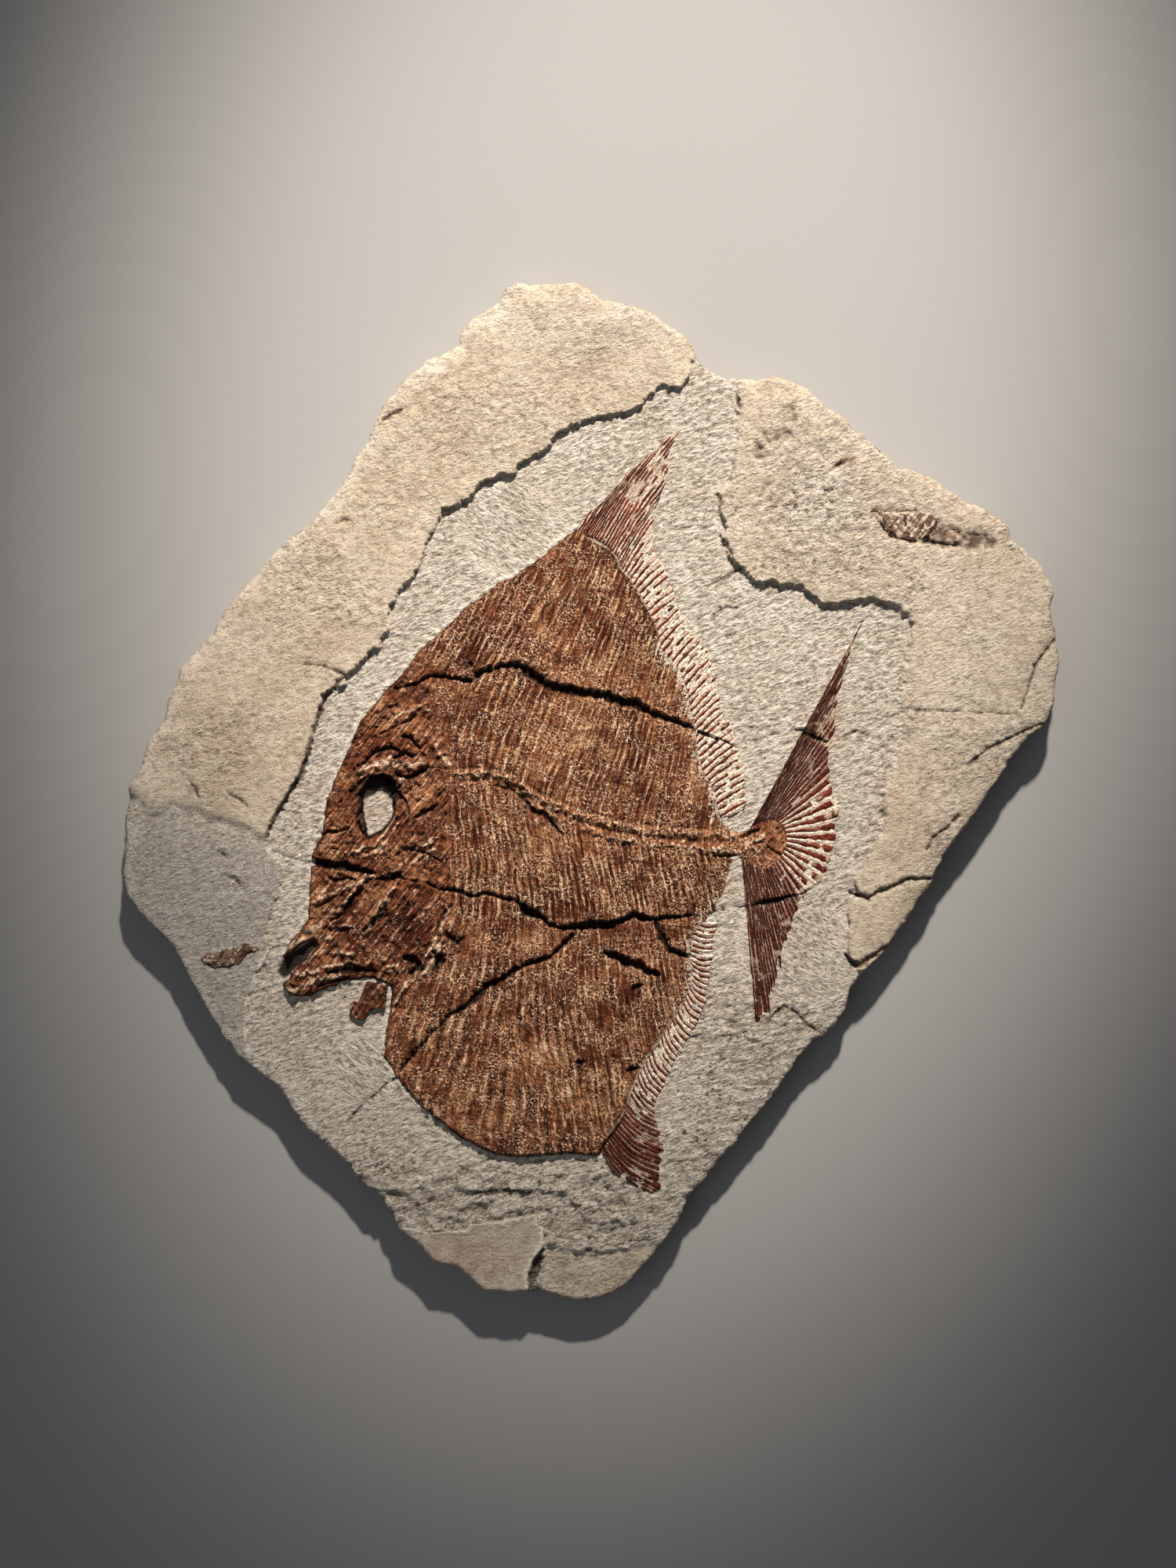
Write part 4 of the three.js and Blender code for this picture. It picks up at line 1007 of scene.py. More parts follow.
def body_surface(x, y):
    """The fish's crust: its height, and the shares of bone, groove and crack on it."""
    wander = layered_noise(x, y, 3.5, 101, 3)
    inside = depth_inside(x, y, BODY_OUTLINE) + 0.4 * wander
    skull = smooth(depth_inside(x, y, HEAD_AREA) + 3 * wander, -2.5, 3)
    head = np.maximum(skull, 0.8 * patches(x, y, TAIL_PLATE))
    row = scale_row(x, y) + 0.16 * noise(x, y, 7, 103) + 0.06 * wander
    along = y - spine_height(x)
    tail_root = smooth(x, 50, 66)
    finned = fin_side(x, y)
    band = smooth(4.6 - np.abs(along + 0.6) + 1.2 * wander, -1, 1.5) * smooth(x, -62, -54)
    band = band * (1 - 0.6 * tail_root)
    trunk = (1 - head) * (1 - 0.6 * band) * (1 - 0.8 * tail_root)
    jaw = smooth(-y - 0.55 * (x + 130) - 62, -4, 6) * smooth(-x, 86, 96)
    undercut = smooth(-y, 118, 146)

    # The crust rises from the stone at once where it was dug free, and thins out under the fins.
    margin_height = 1.25 + 1.1 * jaw - 0.75 * finned * (1 - undercut) + 1.3 * undercut
    swell = np.clip(1 - ((x + 30) / 110) ** 2 - ((y + 22) / 145) ** 2, 0, 1)
    rise = 0.75 + 0.7 * finned - 0.6 * undercut
    crust = -1.3 + (1.3 + margin_height) * smooth(inside, -0.8, 0.9)
    crust = crust + rise * smooth(inside, 0.5, 15) + 0.8 * swell * smooth(inside, 0, 25)
    crust = crust - tail_root * (0.5 + 0.35 * smooth(inside, 0.5, 15))

    # Its relief, with single bones on it and deep grooves in it.
    lumps = layered_noise(x, y, 6, 106, 4)
    knobs = grains(x, y, 2.1, 109)
    flank, row_strength = flank_relief(x, y, row, along)
    backbone, edges = backbone_relief(x, along, wander, tail_root, band, knobs)
    bones = skull_relief(x, y, jaw, knobs, lumps)
    texture = trunk * flank + (1 - head) * backbone + head * bones + 0.22 * lumps
    bone_height, bone = raised_height(x, y, BONES)
    groove_depth, groove = cut_depth(x, y, GROOVES, 0.6)
    crack_depth, shaded_crack = cut_depth(x, y, BODY_CRACKS + FIN_CRACKS, 0.8)

    # On the finned side the crust either ends in a thin seam or frays out into the stone.
    frayed = smooth(74 - y, 0, 14) * smooth(y + 103, 0, 14) * finned * (1 - tail_root)
    seamed = finned * (1 - frayed) * (1 - tail_root) * smooth(noise(x, y, 2.6, 118) + 0.5, 0, 0.4)
    seam = seamed * hump(inside - 0.7, 0.5)
    behind_seam = seamed * hump(inside - 1.9, 0.55)

    settled = smooth(inside, -0.2, 1.2)
    z = crust + settled * (texture + 1.15 * bone_height - groove_depth) + 0.4 * seam - 0.5 * behind_seam
    z = z - crack_depth * smooth(inside, -0.5, 0.6)
    z = np.where(inside > -0.3, np.maximum(z, -1.6), z)
    eye = depth_inside(x, y, ORBIT) + 0.3 * wander
    z = z - 5 * smooth(eye, -0.4, 0.5)
    # Cracks, grooves, the furrow behind the seam and the eye socket's rim, painted near black as shade.
    gaps = np.maximum(shaded_crack, 0.9 * groove) + 0.7 * behind_seam + smooth(eye, -1.5, -0.4)
    knobbly = (0.8 * band + 0.5 * jaw) * smooth(knobs, 0.2, 0.6)
    shares = {
        "row": row,
        "along": along,
        "trunk": trunk * row_strength,
        "head": head,
        "shaded_crack": np.clip(gaps, 0, 1),
        # Single bones and the backbone's edges; their pale edges in the material are partly painted
        # highlights.
        "bone": np.clip(bone + 0.9 * edges + knobbly, 0, 1),
        "shade": np.maximum(patches(x, y, DARK_PATCHES), 0.25 * head),
        "gold": patches(x, y, GOLDEN_PATCHES),
        "margin": (1 - 0.5 * finned) * (1 - smooth(inside, 0.2, 1.6 - finned)),
        "fray": frayed * (0.66 + 0.22 * smooth(y, 36, 50)) * (1 - smooth(inside, -1, 8)),
        "pale": seam,
        # Painted shade in the relief's low places.
        "low": smooth(0.05 - texture, 0, 0.6),
    }
    return PREPARED_FACE + z, shares


def row_points(low_y, high_y, step):
    """Points on the crests, sides and valleys of the scale rows, a step apart down the rows."""
    points = []
    xs = np.arange(-100, 70, 0.5)
    for y in np.arange(low_y, high_y, step):
        rising = np.maximum.accumulate(scale_row(xs, np.full(len(xs), y)))
        levels = np.arange(math.ceil(rising[0] * 4), math.floor(rising[-1] * 4)) / 4
        shift = step / 2 * (np.arange(len(levels)) % 2)
        points.append(np.column_stack([np.interp(levels, rising, xs), y + shift]))
    return np.vstack(points)


def upright_wall(turn, level):
    """A crust's side, almost straight down."""
    return 0.2 * level + 0 * turn


def make_body():
    """The fish's head and trunk, as one closed piece."""
    outer = grown(BODY_OUTLINE, 1.1)
    rim = densified(outer, spacing=1.0, roughness=0, seed=0)
    rows = row_points(low_y=-158, high_y=114, step=0.7)
    x, y = rows.T
    on_trunk = (depth_inside(x, y, HEAD_AREA) < 0) & (depth_inside(x, y, outer) > 0.6) & (x < 62)
    even = scattered(outer, spacing=0.62, seed=121, margin=0.6)
    x, y = even.T
    on_head = (depth_inside(x, y, HEAD_AREA) > 0.4) | (x > 62.4)
    inner = np.vstack([rows[on_trunk], even[on_head]])
    few = scattered(outer, spacing=9, seed=122, margin=5)
    floor = PREPARED_FACE - 3.6
    return closed_relief("petrified_fish", rim, inner, body_surface, [0.5, 1], upright_wall, floor, few)


# ---------- fins ----------
RAY_COLUMNS = 10  # columns of points to a ray and its gap
ROOT_UNDER_BODY = 1.6  # how far the rays' roots reach in under the body's margin


def ray_columns(stations, gaps):
    """Columns of points across a fin: where they are, counted in rays, their roots and directions, how long
    they are, and the web between them.
    """
    stations = np.array(stations, float)
    roots, tips, web = stations[:, :2], stations[:, 2:4], stations[:, 4]
    spans = np.hypot(*np.diff(roots + tips, axis=0).T) / 2
    spacing = gaps[1] + (gaps[0] - gaps[1]) * (web[1:] + web[:-1]) / 2
    starts = np.concatenate([[0], np.cumsum(spans / spacing)])
    ray_count = int(round(starts[-1]))
    across = np.linspace(0, ray_count, ray_count * RAY_COLUMNS + 1)
    place = across / ray_count * starts[-1]
    root = np.column_stack([np.interp(place, starts, roots[:, i]) for i in (0, 1)])
    tip = np.column_stack([np.interp(place, starts, tips[:, i]) for i in (0, 1)])
    length = np.hypot(*(tip - root).T)[:, None]
    direction = (tip - root) / length
    root = root - direction * ROOT_UNDER_BODY
    return across, root, direction, length + ROOT_UNDER_BODY, np.interp(place, starts, web)[:, None]


def fin_sheet(name, stations, gaps, steps, seed, curl, widening, broken, shade):
    """A sheet of dark fin rays with pale ridges of stone between them.

    gaps are the rays' spacing in a solid web and in an open one, steps the points down each ray, curl how
    far the rays bow in twentieths of their length, widening how much broader the open ones get towards their
    tips, broken, 0 to 1, how much of those has come away, and shade how dark the bone has turned.
    """
    across, root, direction, length, webbed = ray_columns(stations, gaps)

    # Where each point of each ray lies.
    ray = np.round(across).astype(int)[:, None]
    down = np.linspace(0, 1, steps + 1)[None, :]
    uneven = 1 + 0.12 * (corner_value(ray, 0 * ray, seed) - 0.5)
    reach = down * uneven * length
    sway = curl * np.sin(np.pi * down) * length / 20
    sway = sway + (0.2 + 0.2 * broken) * noise(ray * 5.3 + 0 * reach, reach / 5, 1, seed + 7)
    x = root[:, 0:1] + direction[:, 0:1] * reach - direction[:, 1:2] * sway
    y = root[:, 1:2] + direction[:, 1:2] * reach + direction[:, 0:1] * sway

    # Each ray fills the middle of its own strip, as far as it is still there. Stone fills the rest.
    wear = layered_noise(x, y, 5, seed + 1, 3)
    aside = np.abs(across[:, None] - ray)
    broader = (1 - webbed) * (widening * down - 0.18 + 0.12 * noise(x, y, 2.3, seed + 3))
    half_width = 0.37 + broader
    present = noise(ray * 3.1 + 0 * reach, reach / 7, 1, seed + 2) + 0.3 * wear
    present = smooth(present + 0.85 - 0.85 * broken * (1 - webbed) * smooth(down, 0.1, 0.4), 0, 0.2)
    flaked = 0.7 * noise(ray * 2.3 + 0 * reach, reach / 5, 1, seed + 8)
    bare = 0.8 * smooth(patches(x, y, BARE_FIN_PATCHES) + flaked + 0.3 * wear, 0.45, 0.65)
    bone = smooth(half_width - aside, -0.05, 0.05) * present * (1 - bare)

    # Its height: rounded rays with joints across them, rounded ridges, and a fine groove between the two.
    dome = np.sqrt(np.clip(1 - (aside / half_width) ** 2, 0, 1))
    ridge = np.clip(1 - ((0.5 - aside) / (0.52 - half_width)) ** 2, 0, 1)
    worn_out = broken * (1 - webbed) * smooth(wear - 0.1, 0, 0.4)
    joints = noise(ray * 3.7 + 0 * reach, reach / 2.2, 1, seed + 5)
    between = 0.15 + 0.35 * ridge - 1.2 * worn_out
    z = between + (0.3 + 0.4 * dome + 0.14 * joints - between) * bone + 0.12 * wear + 0.25 * broken
    z = z - 0.25 * hump(aside - half_width, 0.07)
    z = z - (0.6 + z) * (1 - smooth(1 - down, 0, 0.08))
    crack_depth, shaded_crack = cut_depth(x, y, FIN_CRACKS, 0.5)
    z = PREPARED_FACE + z - crack_depth
    border = np.zeros(z.shape, bool)
    border[[0, -1]] = True
    border[:, [0, -1]] = True
    z = np.where(border, PREPARED_FACE - 1.6, z)
    outer_rays = np.exp(-across / 7.0) + np.exp((across - across[-1]) / 7.0)
    shares = {
        "row": across[:, None] + 0 * z,
        "along": reach + 0 * z,
        "web": webbed + 0 * z,
        "reach": down + 0 * z,
        "ray": bone,
        "shaded_crack": shaded_crack,
        "shade": shade * (0.75 + 0.25 * np.clip(outer_rays, 0, 1)[:, None]) + 0 * z,
    }
    return closed_grid(name, x, y, z, PREPARED_FACE - 3, shares)


def closed_grid(name, x, y, z, floor, shares):
    """A closed piece from a grid of heights: the grid, the same grid as its underside, and its walls."""
    index = np.arange(x.size).reshape(x.shape)
    corners = [index[:-1, :-1], index[1:, :-1], index[1:, 1:], index[:-1, 1:]]
    top = np.vstack(quad_halves(*[c.ravel() for c in corners]))
    flat = np.column_stack([x.ravel(), y.ravel()])
    a, b, c = (flat[top[:, i]] for i in range(3))
    area = (b[:, 0] - a[:, 0]) * (c[:, 1] - a[:, 1]) - (b[:, 1] - a[:, 1]) * (c[:, 0] - a[:, 0])
    if area.sum() < 0:
        top = top[:, ::-1]
    border = border_of(top)
    following = np.roll(border, -1)
    walls = np.vstack(quad_halves(border, border + x.size, following + x.size, following))
    under = (top + x.size)[:, ::-1]
    heights = np.concatenate([z.ravel(), np.full(x.size, floor)])
    places = np.column_stack([np.tile(flat, (2, 1)), heights])
    turn = np.linspace(0, 1, len(border) + 1)
    wall_uvs = np.concatenate(strip_uvs(turn, 0, 1))
    uvs = np.concatenate([flat_uvs(places)[top], under_uvs(places)[under], wall_uvs])
    filled = {key: np.tile(value.ravel(), 2) for key, value in shares.items()}
    return make_mesh(name, places, np.vstack([top, under, walls]), uvs, filled)


# ---------- small pieces ----------
def crust_patch(name, outline, level, thickness, spacing, seed, lumpiness, fading):
    """A small patch of petrified bone on the stone; fading, 0 to 1, lets the stone show through it."""

    def height(x, y):
        wander = layered_noise(x, y, 2.5, seed, 3)
        inside = depth_inside(x, y, outline) + 0.4 * wander
        knobs = grains(x, y, 1.6, seed + 4)
        body = -0.9 + (0.9 + thickness) * smooth(inside, -0.5, 1.1)
        relief = 0.5 * layered_noise(x, y, 4, seed + 9, 4) + knobs
        z = level + body + smooth(inside, 0, 1.2) * lumpiness * relief
        shares = {
            "row": (x + y) / 3,
            "along": y,
            "trunk": 0 * x,
            "head": 1 + 0 * x,
            # Painted shade in small cracks, where a noise is low.
            "shaded_crack": smooth(-layered_noise(x, y, 3, seed + 9, 3), 0.4, 0.8),
            "bone": 0.5 * knobs,
            "shade": 0.5 + 0 * x,
            "gold": 0 * x,
            "margin": (1 - fading) * (1 - smooth(inside, 0.1, 1.0)),
            "fray": fading * smooth(wander + 0.3, -0.2, 0.5),
            "pale": 0 * x,
            # Painted shade between the knobs.
            "low": smooth(0.3 - knobs, 0, 0.3),
        }
        return z, shares

    outer = grown(outline, 0.8)
    rim = densified(outer, spacing * 1.3, roughness=0, seed=0)
    inner = scattered(outer, spacing, seed + 20, margin=spacing * 0.7)
    few = scattered(outer, spacing=4, seed=seed + 21, margin=2)
    return closed_relief(name, rim, inner, height, [1], upright_wall, level - 2, few)


# ---------- shader building blocks ----------
class Tree:
    """Adds nodes to a tree and wires values, or other nodes' outputs, into their inputs."""

    def __init__(self, tree):
        self.tree = tree

    def fill(self, node, inputs):
        """Gives a node's inputs their values or links."""
        for socket, value in inputs.items():
            if isinstance(value, bpy.types.NodeSocket):
                self.tree.links.new(value, node.inputs[socket])
            else:
                node.inputs[socket].default_value = value
        return node

    def add(self, kind, inputs=None, **settings):
        """A new node with its inputs and settings."""
        made = self.tree.nodes.new(kind)
        for key, value in settings.items():
            setattr(made, key, value)
        return self.fill(made, inputs or {})

    def math(self, operation, *values):
        """What an operation makes of some values."""
        return self.add("ShaderNodeMath", dict(enumerate(values)), operation=operation).outputs[0]

    def times(self, first, second):
        return self.math("MULTIPLY", first, second)

    def plus(self, first, second):
        return self.math("ADD", first, second)

    def rest(self, value):
        """What a share leaves of 1."""
        return self.math("SUBTRACT", 1.0, value)

    def range(self, value, low, high, to_low=0.0, to_high=1.0):
        """A value taken smoothly from one range to another."""
        inputs = {"Value": value, "From Min": low, "From Max": high, "To Min": to_low, "To Max": to_high}
        return self.add("ShaderNodeMapRange", inputs, interpolation_type="SMOOTHSTEP").outputs[0]

    def mix(self, share, first, second):
        """Two colours mixed."""
        return self.add("ShaderNodeMix", {0: share, 6: first, 7: second}, data_type="RGBA").outputs[2]

    def coats(self, base, coats):
        """A base colour with others laid over it in turn: (mask, amount, colour)."""
        for mask, amount, shade in coats:
            base = self.mix(self.times(mask, amount), base, shade)
        return base

    def blend(self, share, first, second):
        """Two values mixed."""
        return self.add("ShaderNodeMix", {0: share, 2: first, 3: second}, data_type="FLOAT").outputs[0]

    def share(self, name):
        """One of the shares that the mesh carries."""
        made = self.add("ShaderNodeAttribute", attribute_name=name, attribute_type="GEOMETRY")
        return made.outputs["Fac"]

    def noise(self, place, size, detail=3.0, roughness=0.55, distortion=0.0):
        """Noise from 0 to 1 with features of one size."""
        inputs = {
            "Vector": place,
            "Scale": 1 / size,
            "Detail": detail,
            "Roughness": roughness,
            "Distortion": distortion,
        }
        return self.add("ShaderNodeTexNoise", inputs).outputs["Fac"]

    def stretched(self, place, degrees, length, width):
        """A place turned and squeezed, so that noise over it is drawn out along one direction."""
        inputs = {"Vector": place, "Angle": -math.radians(degrees)}
        turned = self.add("ShaderNodeVectorRotate", inputs, rotation_type="Z_AXIS").outputs[0]
        scaled = {0: turned, 1: (1 / length, 1 / width, 1 / width)}
        return self.add("ShaderNodeVectorMath", scaled, operation="MULTIPLY").outputs[0]

    def combine(self, x, y):
        """A place made from two values."""
        return self.add("ShaderNodeCombineXYZ", {"X": x, "Y": y}).outputs[0]

    def ramp(self, value, stops):
        """A colour scale through (position, colour) stops."""
        made = self.add("ShaderNodeValToRGB", {"Fac": value})
        scale = made.color_ramp
        while len(scale.elements) < len(stops):
            scale.elements.new(0.5)
        for element, (position, shade) in zip(scale.elements, stops):
            element.position = position
            element.color = shade
        return made.outputs["Color"]


def colour(red, green, blue):
    """A colour seen on screen, as the light that a material reflects."""
    linear = [((c + 0.055) / 1.055) ** 2.4 if c > 0.04045 else c / 12.92 for c in (red, green, blue)]
    return (*linear, 1.0)


def new_group(name, inputs, outputs):
    """An empty shader group with named inputs (name, kind) and outputs (name, kind)."""
    group = bpy.data.node_groups.new(name, "ShaderNodeTree")
    for label, kind in inputs:
        group.interface.new_socket(name=label, in_out="INPUT", socket_type=kind)
    for label, kind in outputs:
        group.interface.new_socket(name=label, in_out="OUTPUT", socket_type=kind)
    tree = Tree(group)
    return group, tree, tree.add("NodeGroupInput").outputs, tree.add("NodeGroupOutput")


VALUE, VECTOR = "NodeSocketFloat", "NodeSocketVector"


def millimetre_place():
    """Where a point is on the object, in millimetres."""
    group, tree, _, out = new_group("millimetre place", [], [("Place", VECTOR)])
    place = tree.add("ShaderNodeTexCoord").outputs["Object"]
    inputs = {0: place, 1: (1 / MM, 1 / MM, 1 / MM)}
    tree.fill(out, {"Place": tree.add("ShaderNodeVectorMath", inputs, operation="MULTIPLY").outputs[0]})
    return group


def stone_grain():
    """The limestone's own grain: mottling, fine grain, crumbs a few millimetres across and small pits."""
    outputs = [("Mottle", VALUE), ("Grain", VALUE), ("Crumbs", VALUE), ("Pits", VALUE)]
    group, tree, given, out = new_group("limestone grain", [("Place", VECTOR)], outputs)
    place = given["Place"]
    mottle = tree.blend(0.45, tree.noise(place, 24, 3), tree.noise(place, 4.5, 4, 0.6))
    crumbs = tree.noise(tree.stretched(place, 20, 2.1, 1.4), 1, 4, 0.6)
    # The pits, which the limestone material darkens as painted shade.
    pits = tree.range(tree.plus(crumbs, tree.times(tree.noise(place, 9, 2), 0.3)), 0.56, 0.46)
    outcome = {"Mottle": mottle, "Grain": tree.noise(place, 0.8, 4, 0.7), "Crumbs": crumbs, "Pits": pits}
    tree.fill(out, outcome)
    return group


def tool_strokes():
    """Engraving-tool strokes as a height: short marks that rise to the right, or fall where turned."""
    inputs = [("Place", VECTOR), ("Turned", VALUE)]
    group, tree, given, out = new_group("tool strokes", inputs, [("Height", VALUE)])
    place = given["Place"]
    wandering = tree.add("ShaderNodeTexNoise", {"Vector": place, "Scale": 1 / 13, "Detail": 1.0})
    bend = wandering.outputs["Color"]
    bent_by = {0: bend, 1: (2.0, 2.0, 2.0), 2: place}
    bent = tree.add("ShaderNodeVectorMath", bent_by, operation="MULTIPLY_ADD").outputs[0]
    rising = tree.noise(tree.stretched(bent, 24, 2.3, 1.1), 1, 5, 0.62)
    falling = tree.noise(tree.stretched(bent, -30, 1.9, 1.1), 1, 5, 0.62)
    tree.fill(out, {"Height": tree.blend(given["Turned"], rising, falling)})
    return group


def bone_grain():
    """Petrified bone in rows: their crests, streaks along them, rungs across them and a finer grain."""
    inputs = [("Place", VECTOR), ("Row", VALUE), ("Along", VALUE)]
    outputs = [("Crest", VALUE), ("Streak", VALUE), ("Rung", VALUE), ("Fine", VALUE)]
    group, tree, given, out = new_group("bone grain", inputs, outputs)
    fine = tree.noise(given["Place"], 0.85, 3, 0.65, 0.4)
    shake = tree.times(tree.math("SUBTRACT", tree.noise(given["Place"], 2.6, 3), 0.5), 0.45)
    row, along = tree.plus(given["Row"], shake), given["Along"]
    crest = tree.math("MULTIPLY_ADD", tree.math("COSINE", tree.times(row, 2 * math.pi)), 0.5, 0.5)
    streak = tree.noise(tree.combine(tree.times(row, 3.0), tree.times(along, 0.08)), 1, 4, 0.65)
    rung = tree.noise(tree.combine(tree.times(row, 1.3), tree.times(along, 0.75)), 1, 3, 0.6)
    tree.fill(out, {"Crest": crest, "Streak": streak, "Rung": rung, "Fine": fine})
    return group


def use(tree, group, inputs=None):
    """A shader group placed in a tree: its outputs."""
    return tree.fill(tree.add("ShaderNodeGroup", node_tree=group), inputs or {}).outputs


PLACE, GRAIN, STROKES, BONE_GRAIN = millimetre_place(), stone_grain(), tool_strokes(), bone_grain()


def new_material(name):
    """An empty material, its tree and the place on the object in millimetres."""
    material = bpy.data.materials.new(name)
    material.use_nodes = True
    material.node_tree.nodes.clear()
    tree = Tree(material.node_tree)
    return material, tree, use(tree, PLACE)["Place"]


SHINE = 0.12  # dry stone and bone hardly shine


def finish_material(tree, base, roughness, height, height_mm):
    """The surface itself, with its bumps up to height_mm high."""
    bump = tree.add("ShaderNodeBump", {"Height": height, "Strength": 1.0, "Distance": height_mm * MM})
    inputs = {
        "Base Color": base,
        "Roughness": roughness,
        "Specular IOR Level": SHINE,
        "Normal": bump.outputs[0],
    }
    surface = tree.add("ShaderNodeBsdfPrincipled", inputs)
    tree.add("ShaderNodeOutputMaterial", {"Surface": surface.outputs[0]})


# ---------- materials ----------
# Colour scales of petrified bone: (place on the scale, colour).
FISH_TONES = [
    (0.15, colour(0.22, 0.08, 0.04)),
    (0.38, colour(0.40, 0.20, 0.12)),
    (0.54, colour(0.56, 0.34, 0.22)),
    (0.7, colour(0.72, 0.50, 0.34)),
    (0.92, colour(0.93, 0.78, 0.62)),
]
FADED_TONES = [
    (0.1, colour(0.34, 0.24, 0.18)),
    (0.35, colour(0.52, 0.42, 0.35)),
    (0.6, colour(0.68, 0.58, 0.50)),
    (0.9, colour(0.82, 0.75, 0.66)),
]
FIN_TONES = [
    (0.1, colour(0.15, 0.03, 0.01)),
    (0.4, colour(0.37, 0.11, 0.06)),
    (0.65, colour(0.51, 0.20, 0.12)),
    (0.95, colour(0.76, 0.44, 0.29)),
]


def limestone_material():
    """Pale grey stone where the tool has dug, and tan stone where the upper layers stand."""
    material, tree, place = new_material("limestone")
    grain = use(tree, GRAIN, {"Place": place})
    marks = use(tree, STROKES, {"Place": place, "Turned": tree.share("turned")})["Height"]
    upper, rough = tree.share("upper"), tree.share("rough")
    worked = tree.rest(upper)

    mottle = tree.range(grain["Mottle"], 0.36, 0.64)
    tan = tree.mix(mottle, colour(0.74, 0.66, 0.56), colour(0.83, 0.76, 0.67))
    grey = tree.mix(mottle, colour(0.81, 0.75, 0.68), colour(0.87, 0.82, 0.76))
    pits = tree.times(grain["Pits"], tree.math("MULTIPLY_ADD", rough, 0.9, 0.12))
    base = tree.coats(tree.mix(tree.times(upper, 0.85), grey, tan), [
        # The lower layer's grey, partly painted shade, and painted shade on the bottom flake.
        (tree.share("lower"), 0.8, colour(0.65, 0.625, 0.60)),
        (tree.share("wall"), 0.7, colour(0.68, 0.60, 0.50)),
        # Painted shadows on the low sides of the tool marks, and painted highlights on their tops.
        (tree.times(tree.range(marks, 0.42, 0.36), worked), 0.68, colour(0.46, 0.39, 0.32)),
        (tree.times(tree.range(marks, 0.54, 0.64), worked), 0.6, colour(0.98, 0.96, 0.92)),
        # Pale lines and rims, partly painted highlights on the rims that face the light.
        (tree.share("pale"), 0.75, colour(0.95, 0.91, 0.85)),
        # Painted shade in the low places.
        (tree.share("low"), 0.45, colour(0.56, 0.49, 0.41)),
        (tree.range(grain["Grain"], 0.56, 0.68), 0.6, colour(0.96, 0.93, 0.87)),
        (tree.range(grain["Grain"], 0.44, 0.34), 0.65, colour(0.55, 0.47, 0.39)),
        # Painted shade in the pits.
        (pits, 1.0, colour(0.42, 0.34, 0.26)),
        # Iron stains, and painted shade on the bottom flake.
        (tree.share("rust_and_shade"), 0.6, colour(0.66, 0.42, 0.27)),
        # Painted shade in the cracks and crevices.
        (tree.share("shaded_crack"), 0.8, colour(0.26, 0.19, 0.13)),
        # Painted shadow in the mouth and the eye socket.
        (tree.share("dark"), 0.95, colour(0.08, 0.05, 0.03)),
    ])

    chipped = tree.plus(tree.times(tree.range(marks, 0.38, 0.46), 0.15), tree.times(marks, 0.95))
    height = tree.times(chipped, tree.math("MULTIPLY_ADD", worked, 0.9, 0.1))
    crumbs = grain["Crumbs"]
    crumbled = tree.plus(tree.times(tree.range(crumbs, 0.40, 0.48), 0.2), tree.times(crumbs, 0.9))
    height = tree.plus(height, tree.times(crumbled, tree.math("MULTIPLY_ADD", rough, 0.75, 0.25)))
    height = tree.plus(height, tree.times(grain["Grain"], 0.35))
    roughness = tree.range(grain["Mottle"], 0.3, 0.7, 0.96, 0.86)
    finish_material(tree, base, roughness, height, 2.0)
    return material


